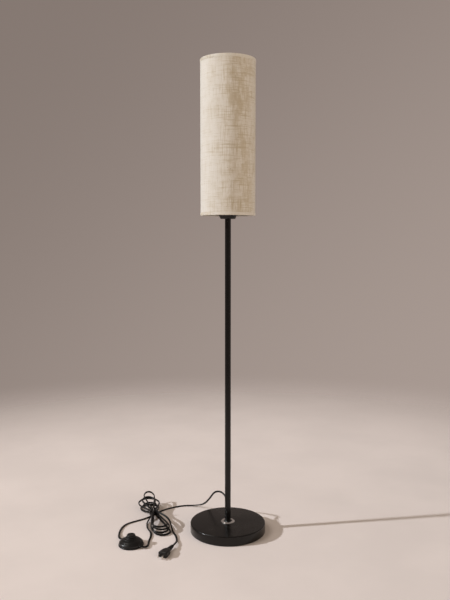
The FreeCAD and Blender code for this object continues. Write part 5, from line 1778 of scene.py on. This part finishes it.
# --- lamp holder
@dataclass
class LampHolder:
    """Spun cup, moulded holder with its ring thread, and the nut that clamps the shade."""

    seat: float = 956.5
    nipple_hole: float = 5.05
    cup_foot: float = 22.0
    cup_radius: float = 27.5
    cup_flare: float = 11.5
    cup_top: float = 988.0
    sheet: float = 1.2
    body_low: float = 962.7
    body_radius: float = 18.0
    body_top: float = 1016.0
    flange_radius: float = 28.2
    flange_top: float = 990.0
    skirt_radius: float = 19.9
    shell_bore: float = 14.25
    web_low: float = 981.0
    web_top: float = 984.0
    wall: float = 2.6
    floor: float = 3.0
    thread_pitch: float = 2.0
    thread_rings: int = 8
    nut_low: float = 991.2
    nut_high: float = 999.2
    nut_inner: float = 19.95
    nut_outer: float = 27.0
    nut_notches: int = 12
    notch_radius: float = 1.6

    def cup(self) -> Piece:
        """The cup under the shade."""
        low, top, sheet = self.seat, self.cup_top, self.sheet
        return turned("holder_spun_cup", [
            (self.nipple_hole, low, 0), (self.cup_foot, low, 2.2), (self.cup_radius, low + self.cup_flare, 5.0),
            (self.cup_radius, top, 0.3), (self.cup_radius - sheet, top, 0.3),
            (self.cup_radius - sheet, low + self.cup_flare + 0.4, 4.0), (self.cup_foot - 0.8, low + sheet, 1.2),
            (self.nipple_hole, low + sheet, 0),
        ], 128, 8)

    def body(self) -> Piece:
        """The moulded holder."""
        return turned("holder_moulded_body", [
            (self.nipple_hole, self.body_low, 0), (self.body_radius, self.body_low, 1.5),
            (self.body_radius, self.cup_top, 0), (self.flange_radius, self.cup_top, 0.2),
            (self.flange_radius, self.flange_top, 0.6), (self.skirt_radius, self.flange_top, 0),
            (self.skirt_radius, self.body_top, 0.8), (self.shell_bore, self.body_top, 0.3),
            (self.shell_bore, self.web_top, 0), (3.0, self.web_top, 0), (3.0, self.web_low, 0),
            (self.body_radius - self.wall, self.web_low, 0),
            (self.body_radius - self.wall, self.body_low + self.floor, 0),
            (self.nipple_hole, self.body_low + self.floor, 0),
        ], 96)

    def thread(self) -> Piece:
        """The holder's outer thread above the nut, one ridge to a pitch."""
        tree = GeometryTree("holder_thread", {
            "Ridges": self.thread_rings, "Pitch": self.thread_pitch * MM,
            "Radius": (self.skirt_radius - 0.25) * MM, "Depth": 0.55 * MM, "Start": (self.nut_high + 1.0) * MM,
        })
        torus = tree.swept(tree.circle(72, tree.size("Radius")), tree.circle(8, tree.size("Depth")))
        start, pitch = tree.joined(0.0, 0.0, tree.size("Start")), tree.joined(0.0, 0.0, tree.size("Pitch"))
        tree.finish(tree.copies(tree.row(tree.size("Ridges"), start, pitch), torus), Finishes.HOLDER_PLASTIC)
        return tree.run("holder_ring_thread")

    def nut(self) -> Piece:
        """The ring nut, notched round its edge for the fingers."""
        low, high = self.nut_low, self.nut_high
        levels = [
            (low, 0.8), (low + 0.25, 0.25), (low + 0.8, 0.0),
            (high - 1.6, 0.0), (high - 0.8, 0.22), (high - 0.2, 0.9), (high, 1.6),
        ]
        pitch = 2 * pi / self.nut_notches
        round_it = angles(288)
        rings = []
        for z, inset in levels:
            ring = []
            for angle in round_it:
                off = abs(angle - round(angle / pitch) * pitch) * self.nut_outer
                notch = math.sqrt(max(0.0, self.notch_radius**2 - off**2)) - 0.5
                radius = self.nut_outer - inset - max(0.0, notch)
                ring.append((radius * cos(angle), radius * sin(angle), z))
            rings.append(ring)
        for z in (high, low):
            rings.append([(self.nut_inner * cos(a), self.nut_inner * sin(a), z) for a in round_it])
        return lofted("shade_ring_nut", rings, True)

    def make(self) -> list[Piece]:
        """Make the holder's pieces.

        Returns:
            The pieces.
        """
        return [
            fit(self.cup(), Finishes.BLACK_PAINT, "socket_cup"),
            fit(self.body(), Finishes.HOLDER_PLASTIC, "socket_body"),
            fit(self.thread(), Finishes.HOLDER_PLASTIC),
            fit(self.nut(), Finishes.HOLDER_PLASTIC, "shade_nut"),
        ]


# --- shade
@dataclass
class Shade:
    """Column shade: linen on a styrene liner, wire rings, hemmed rims and a three-arm spider."""

    radius: float = 81.5
    low: float = 966.0
    high: float = 1416.0
    cloth: float = 0.6
    liner_outer: float = 80.3
    liner_inner: float = 79.8
    hem_depth: float = 9.0
    hem_inner_depth: float = 2.2
    hem_thickness: float = 0.6
    ring_radius: float = 78.2
    wire: float = 1.5
    lap: float = 12.0
    hub_outer: float = 31.0
    hub_inner: float = 20.2
    hub_low: float = 990.0
    hub_high: float = 991.2
    arm_height: float = 992.1
    arm_start: float = 28.0
    arm_bend: float = 9.0
    arms: int = 3

    @property
    def inside(self) -> float:
        """Radius of the cloth's inner face."""
        return self.liner_outer + 0.02

    def fabric(self) -> Piece:
        """The cloth: one sheet wrapped round, lapped at the back, with its own map in metres."""
        around, rows = 200, 60
        middle = self.inside + self.cloth / 2
        low, high = self.low + self.hem_thickness, self.high - self.hem_thickness
        full = 2 * pi + self.lap / middle
        build = bmesh.new()
        map_layer = build.loops.layers.uv.new("cloth")
        grid = []
        for row in range(rows + 1):
            z = low + (high - low) * row / rows
            line = []
            for k in range(around + 1):
                share = k / around
                angle = radians(90) + full * share
                lapped = max(0.0, share * full - 2 * pi) / (self.lap / middle)
                lift = self.cloth * 1.02 * min(1.0, lapped * 4.0)
                slack = noise.noise(Vector((3 * cos(angle), 3 * sin(angle), z * 0.02))) * 0.06
                r = middle + lift + slack
                line.append(build.verts.new((r * cos(angle), r * sin(angle), z)))
            grid.append(line)
        for row in range(rows):
            for k in range(around):
                face = build.faces.new((grid[row][k], grid[row][k + 1], grid[row + 1][k + 1], grid[row + 1][k]))
                for loop, (a, b) in zip(face.loops, ((k, row), (k + 1, row), (k + 1, row + 1), (k, row + 1))):
                    loop[map_layer].uv = (
                        full * middle * MM * a / around,
                        (high - low) * MM * b / rows,
                    )
        mesh = mesh_of("shade_linen", build, MM)
        mesh.shade_smooth()
        piece = linked("shade_linen", mesh)
        thick = piece.modifiers.new("cloth", "SOLIDIFY")
        thick.thickness = self.cloth * MM
        thick.offset = 0.0
        return piece

    def hem(self, name: str, rim: float, inward: int) -> Piece:
        """A strip of the cloth folded over one rim.

        Args:
            name: The piece's name.
            rim: Height of the shade's rim.
            inward: 1 where the shade is above the rim, or -1.

        Returns:
            The hem.
        """
        inner = self.ring_radius - self.wire - 0.1
        leg = self.hem_thickness
        around = 200
        outline = rounded([
            (inner - leg, rim, 1.2), (self.radius, rim, 1.1),
            (self.radius, rim + inward * self.hem_depth, 0.28),
            (self.radius - leg, rim + inward * self.hem_depth, 0.2), (self.radius - leg, rim + inward * leg, 0),
            (inner, rim + inward * leg, 0), (inner, rim + inward * self.hem_inner_depth, 0.1),
            (inner - leg, rim + inward * self.hem_inner_depth, 0.2),
        ], 5)
        lengths = [0.0]
        for a, b in zip(outline, outline[1:] + outline[:1]):
            lengths.append(lengths[-1] + (b - a).length)
        build = bmesh.new()
        map_layer = build.loops.layers.uv.new("cloth")
        columns = []
        for angle in angles(around):
            pucker = noise.noise(Vector((9 * cos(angle), 9 * sin(angle), rim)))
            column = []
            for point in outline:
                loose = 0.10 * pucker if point.x > self.radius - 0.05 else 0.0
                r = point.x + min(0.0, loose)
                column.append(build.verts.new((r * cos(angle), r * sin(angle), point.y)))
            columns.append(column)
        count = len(outline)
        for k in range(around):
            one, two = columns[k], columns[(k + 1) % around]
            for j in range(count):
                n = (j + 1) % count
                face = build.faces.new((one[j], two[j], two[n], one[n]))
                for loop, (a, b) in zip(face.loops, ((k, j), (k + 1, j), (k + 1, j + 1), (k, j + 1))):
                    loop[map_layer].uv = (a / around * 2 * pi * self.radius * MM, lengths[b] * MM)
        return object_from(name, build, 60.0)

    def rings(self) -> Piece:
        """The two wire rings: one swept ring, copied to each rim."""
        edge = self.hem_thickness + self.wire
        tree = GeometryTree("shade_wire_rings", {
            "Ring": self.ring_radius * MM, "Wire": self.wire * MM, "Low": (self.low + edge) * MM,
            "Span": (self.high - self.low - 2 * edge) * MM,
        })
        torus = tree.swept(tree.circle(160, tree.size("Ring")), tree.circle(14, tree.size("Wire")))
        low, span = tree.joined(0.0, 0.0, tree.size("Low")), tree.joined(0.0, 0.0, tree.size("Span"))
        tree.finish(tree.copies(tree.row(2, low, span), torus), Finishes.FRAME_WIRE)
        return tree.run("shade_wire_rings")

    def spider(self) -> Piece:
        """Three bent arms set round the hub by rule."""
        tree = GeometryTree("shade_spider_arms", {
            "Arms": self.arms, "Start": self.arm_start * MM, "Reach": self.ring_radius * MM,
            "Height": self.arm_height * MM, "Foot": (self.low + self.hem_thickness + 2 * self.wire + 0.05) * MM,
            "Bend": self.arm_bend * MM, "Wire": self.wire * MM,
        })
        height, reach, bend = tree.size("Height"), tree.size("Reach"), tree.size("Bend")
        bend_start, bend_end = tree.joined(reach - bend, 0.0, height), tree.joined(reach, 0.0, height - bend)
        out = tree.straight(tree.joined(tree.size("Start"), 0.0, height), bend_start)
        down = tree.straight(bend_end, tree.joined(reach, 0.0, tree.size("Foot")))
        corner = tree.add("GeometryNodeCurveQuadraticBezier", None, {
            "Resolution": 12, "Start": bend_start, "Middle": tree.joined(reach, 0.0, height), "End": bend_end,
        })
        wire = tree.circle(16, tree.size("Wire"))
        arm = tree.merged(*(tree.swept(curve, wire, True) for curve in (out, corner, down)))
        here = (0.0, 0.0, 0.0)
        index = Value(tree, tree.add("GeometryNodeInputIndex").outputs[0])
        turn = tree.joined(0.0, 0.0, index * (2 * pi) / tree.size("Arms") + pi / 2)
        tree.finish(tree.copies(tree.row(tree.size("Arms"), here, here), arm, Rotation=turn), Finishes.FRAME_WIRE)
        return tree.run("shade_spider_arms")

    def make(self) -> list[Piece]:
        """Make the shade.

        Returns:
            The pieces.
        """
        low, high = self.low + self.hem_thickness, self.high - self.hem_thickness
        liner = turned("shade_styrene_liner", oblong(self.liner_inner, self.liner_outer, low, high), 200)
        flat_ring = oblong(self.hub_inner, self.hub_outer, self.hub_low, self.hub_high, 0.2, 0.3, 0.3, 0.2)
        hub = turned("shade_spider_hub", flat_ring, 96, 3)
        spider = joined("shade_spider_frame", [hub, self.spider()])
        linen = Finishes.LINEN
        hems = [
            fit(self.hem("shade_bottom_hem", self.low, 1), linen, "shade_hem_bottom"),
            fit(self.hem("shade_top_hem", self.high, -1), linen, "shade_hem_top"),
        ]
        cloth = fit(self.fabric(), linen, "shade_fabric")
        return [
            cloth,
            *hems,
            fit(liner, Finishes.LINER, "shade_liner"),
            fit(self.rings(), Finishes.FRAME_WIRE, "shade_ring_bottom", "shade_ring_top"),
            fit(spider, Finishes.FRAME_WIRE, "shade_spider"),
        ]


# --- bulb
@dataclass
class Bulb:
    """Lamp bulb: white housing and frosted dome on a screw cap."""

    cap_top: float = 1013.0
    cap_radius: float = 13.1
    housing_top: float = 1047.0
    housing_radius: float = 26.0
    dome_radius: float = 30.0
    dome_centre: float = 1064.4
    wall: float = 1.0

    def make(self) -> list[Piece]:
        """Make the housing and the dome.

        Returns:
            Both pieces.
        """
        housing = turned("bulb_white_housing", [
            (0, self.cap_top, 0), (self.cap_radius, self.cap_top, 0.3),
            (self.cap_radius + 1.2, self.cap_top + 6.0, 12.0), (self.housing_radius, self.housing_top, 0.6),
            (self.housing_radius - 2.0, self.housing_top, 0), (0, self.housing_top, 0),
        ], 96)
        corners: list[Corner] = []
        seat, steps = self.housing_top - self.dome_centre, 40
        for radius, order in ((self.dome_radius, 1), (self.dome_radius - self.wall, -1)):
            low = math.asin(seat / radius)
            rise = [low + (pi / 2 - low) * k / steps for k in range(steps)]
            arc = [(radius * cos(a), self.dome_centre + radius * sin(a), 0.0) for a in rise]
            arc.append((0.0, self.dome_centre + radius, 0.0))
            corners += arc[::order]
        dome = turned("bulb_frosted_dome", corners, 96)
        return [
            fit(housing, Finishes.BULB_WHITE, "bulb_housing"),
            fit(dome, Finishes.BULB_DOME, "bulb_globe"),
        ]


# --- what stays as CAD
@dataclass
class HiddenParts:
    """Inner parts whose solids are shown as they are, each with its own finish."""

    finishes: dict[str, Finish] = field(default_factory=lambda: {
        "base_weight": Finishes.CAST_IRON, "base_plate": Finishes.ZINC, "base_pad": Finishes.FOAM,
        "base_bolt": Finishes.ZINC, "base_washer": Finishes.ZINC, "pole_inserts": Finishes.ZINC,
        "pole_nipples": Finishes.ZINC, "inner_cord": Finishes.CORD_JACKET, "cup_nut": Finishes.ZINC,
        "socket_shell": Finishes.SCREW_SHELL, "socket_contact": Finishes.BRASS,
        "socket_terminals": Finishes.BRASS, "bulb_tip": Finishes.SCREW_SHELL, "bulb_cap": Finishes.SCREW_SHELL,
        "switch_contact_ring": Finishes.BRASS, "switch_contacts": Finishes.BRASS,
        "switch_spring": Finishes.SPRING_STEEL,
    })

    def dress(self, nodes: Mapping[str, Piece]) -> None:
        """Give each shown CAD node its finish.

        Args:
            nodes: The CAD nodes by name.
        """
        for name, finish in self.finishes.items():
            mesh = nodes[name].data
            if not mesh.materials:
                mesh.materials.append(finish.material())
            for index in range(len(mesh.materials)):
                mesh.materials[index] = finish.material()
            log.info("%s dressed with %s", name, finish.label)


# --- studio
@dataclass
class Studio:
    """Plain pale floor, soft key light from the left and the camera."""

    floor_colour: Colour = (0.88, 0.785, 0.757)
    # Backdrop colours between which painted light and shade run across it.
    wall_painted_shade: Colour = (0.235, 0.190, 0.168)
    wall_painted_light: Colour = (0.400, 0.328, 0.294)
    wall_painted_light_axis: Point = (0.62, 0.25, -0.75)
    floor_full: float = 0.9
    floor_gone: float = 2.6
    camera_at: Point = (-0.0087, -2.0801, 0.9005)
    camera_tilt_deg: float = 84.91
    focal_pixels: float = 696.5
    sensor: float = 36.0
    key_strength: float = 2.7
    key_colour: Colour = (0.93, 0.965, 1.0)
    key_spread_deg: float = 1.8
    key_spread_deg: float = 1.8
    key_elevation_deg: float = 26.7
    key_azimuth_deg: float = 189.7
    key_distance: float = 4.0
    panel_azimuth_deg: float = 196.0
    panel_elevation_deg: float = 45.0
    panel_side: float = 1.6
    panel_power: float = 26.0
    panel_distance: float = 3.0
    fill_colour: Colour = (1.0, 0.93, 0.84)
    aim_height: float = 0.7
    ambient: float = 0.15
    ambient_front: float = 1.15
    front_heading_deg: float = -48.0
    ambient_colour: Colour = (1.0, 0.85, 0.69)
    wall_painted_light_span: Pair = (-0.2, 0.7)
    fade_margin: float = 0.05
    patchiness: float = 0.94

    def camera(self) -> None:
        """Set the camera where the photograph was taken from."""
        data = bpy.data.cameras.new("camera")
        data.sensor_width = self.sensor
        data.lens = self.focal_pixels * self.sensor / max(IMAGE_WIDTH, IMAGE_HEIGHT)
        piece = linked("camera", data)
        piece.location = self.camera_at
        piece.rotation_euler = (radians(self.camera_tilt_deg), 0.0, 0.0)
        bpy.context.scene.camera = piece

    def floor(self) -> None:
        """Lay a round pale floor that fades into the backdrop's colour."""
        build = bmesh.new()
        bmesh.ops.create_circle(build, cap_ends=True, segments=96, radius=self.floor_gone)
        floor = linked("studio_floor", mesh_of("studio_floor", build))
        material = bpy.data.materials.new("studio_floor_paint")
        tree = ShaderTree(material, {"Specular IOR Level": 0.1, "Roughness": 0.9})
        x, y, _ = tree.axes(tree.place)
        distance = tree.maths("SQRT", x * x + y * y)
        cloud = tree.noise(tree.place, 3.0, 4.0)
        darker = tuple(part * self.patchiness for part in self.floor_colour)
        tree.feed("Base Color", tree.blend(tree.ranged(cloud, 0.3, 0.7), self.floor_colour, darker))
        tree.bump(tree.noise(tree.place, 160.0, 4.0, 0.7), 0.0004)
        faded = tree.add("ShaderNodeMixShader", None, {
            0: tree.ranged(distance, self.floor_full, self.floor_gone - self.fade_margin),
            1: tree.shader,
            2: tree.add("ShaderNodeBsdfTransparent"),
        })
        tree.tree.links.new(faded.outputs[0], tree.output.inputs["Surface"])
        floor.data.materials.append(material)

    def world(self) -> None:
        """Light all round softly, and show the backdrop's colour to the camera and in reflections, with painted light
        and shade across it: darker to the upper left, paler to the lower right.
        """
        world = bpy.data.worlds.new("studio_world")
        bpy.context.scene.world = world
        world.use_nodes = True
        tree = Tree(world.node_tree)
        ray = tree.add("ShaderNodeLightPath").outputs
        seen = tree.maths("MAXIMUM", Value(tree, ray["Is Camera Ray"]), Value(tree, ray["Is Glossy Ray"]))
        seen = tree.maths("MAXIMUM", seen, Value(tree, ray["Is Transmission Ray"]))
        towards = tree.add("ShaderNodeTexCoord").outputs["Generated"]
        turn = radians(self.front_heading_deg)
        x, y, _ = tree.axes(towards)
        ahead = tree.maths("MAXIMUM", x * cos(turn) + y * sin(turn), 0.0)
        soft = tree.add("ShaderNodeBackground", None, {
            "Color": (*self.ambient_colour, 1.0), "Strength": ahead * ahead * self.ambient_front + self.ambient,
        })
        # Painted light and shade on the backdrop: darker to the upper left, paler to the lower right.
        x, y, z = tree.axes(tree.vector("MULTIPLY", towards, self.wall_painted_light_axis))
        painted_wall_light = tree.blend(tree.ranged(x + y + z, *self.wall_painted_light_span), self.wall_painted_shade, self.wall_painted_light)
        wall = tree.add("ShaderNodeBackground", None, {"Color": painted_wall_light, "Strength": 1.0})
        shown = tree.add("ShaderNodeMixShader", None, {0: seen, 1: soft, 2: wall})
        tree.add("ShaderNodeOutputWorld", None, {"Surface": shown})

    def key(self) -> None:
        """Light the lamp from the left with a far, slightly soft key light."""
        data = bpy.data.lights.new("key_light", "SUN")
        data.energy = self.key_strength
        data.angle = radians(self.key_spread_deg)
        data.color = self.key_colour
        self.aim(data, self.key_azimuth_deg, self.key_elevation_deg, self.key_distance)

    def panel(self) -> None:
        """Hang a large soft panel that faces the lamp."""
        data = bpy.data.lights.new("left_panel", "AREA")
        data.shape = "RECTANGLE"
        data.size = data.size_y = self.panel_side
        data.energy = self.panel_power
        data.color = self.fill_colour
        self.aim(data, self.panel_azimuth_deg, self.panel_elevation_deg, self.panel_distance)

    def aim(self, light: bpy.types.Light, azimuth_deg: float, elevation_deg: float, distance: float) -> None:
        """Stand a light off the lamp's middle and turn it to face that.

        Args:
            light: The light's data.
            azimuth_deg: Where it stands, counted from +X towards +Y.
            elevation_deg: How high it stands.
            distance: How far off it stands, in metres.
        """
        turn, rise = radians(azimuth_deg), radians(elevation_deg)
        towards = Vector((cos(turn) * cos(rise), sin(turn) * cos(rise), sin(rise)))
        piece = linked(light.name, light)
        piece.location = Vector((0.0, 0.0, self.aim_height)) + towards * distance
        piece.rotation_mode = "QUATERNION"
        piece.rotation_quaternion = (-towards).to_track_quat("-Z", "Y")

    def build(self) -> None:
        """Build the camera, the floor, the world and the lights."""
        self.camera()
        self.floor()
        self.world()
        self.key()
        self.panel()
        bpy.context.scene.view_settings.view_transform = "Standard"


def main() -> None:
    """Build the lamp round its frame, piece by piece."""
    logging.basicConfig(level=logging.INFO, format="%(message)s")
    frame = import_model()
    Studio().build()
    plug, switch = Plug(), FootSwitch()
    lead = Lead(switch, plug)
    cords = lead.lay()
    tie = HankTie(lead.hank).make()
    on_plug = [*plug.make(), tie]
    lead.declare(cords, switch.make(), on_plug)
    for assembly in (Base(), FootTrim(), Pole(), LampHolder(), Shade(), Bulb()):
        assembly.make()
        log.info("%s is built", type(assembly).__name__)
    HiddenParts().dress(frame["nodes"])


if __name__ == "__main__":
    main()
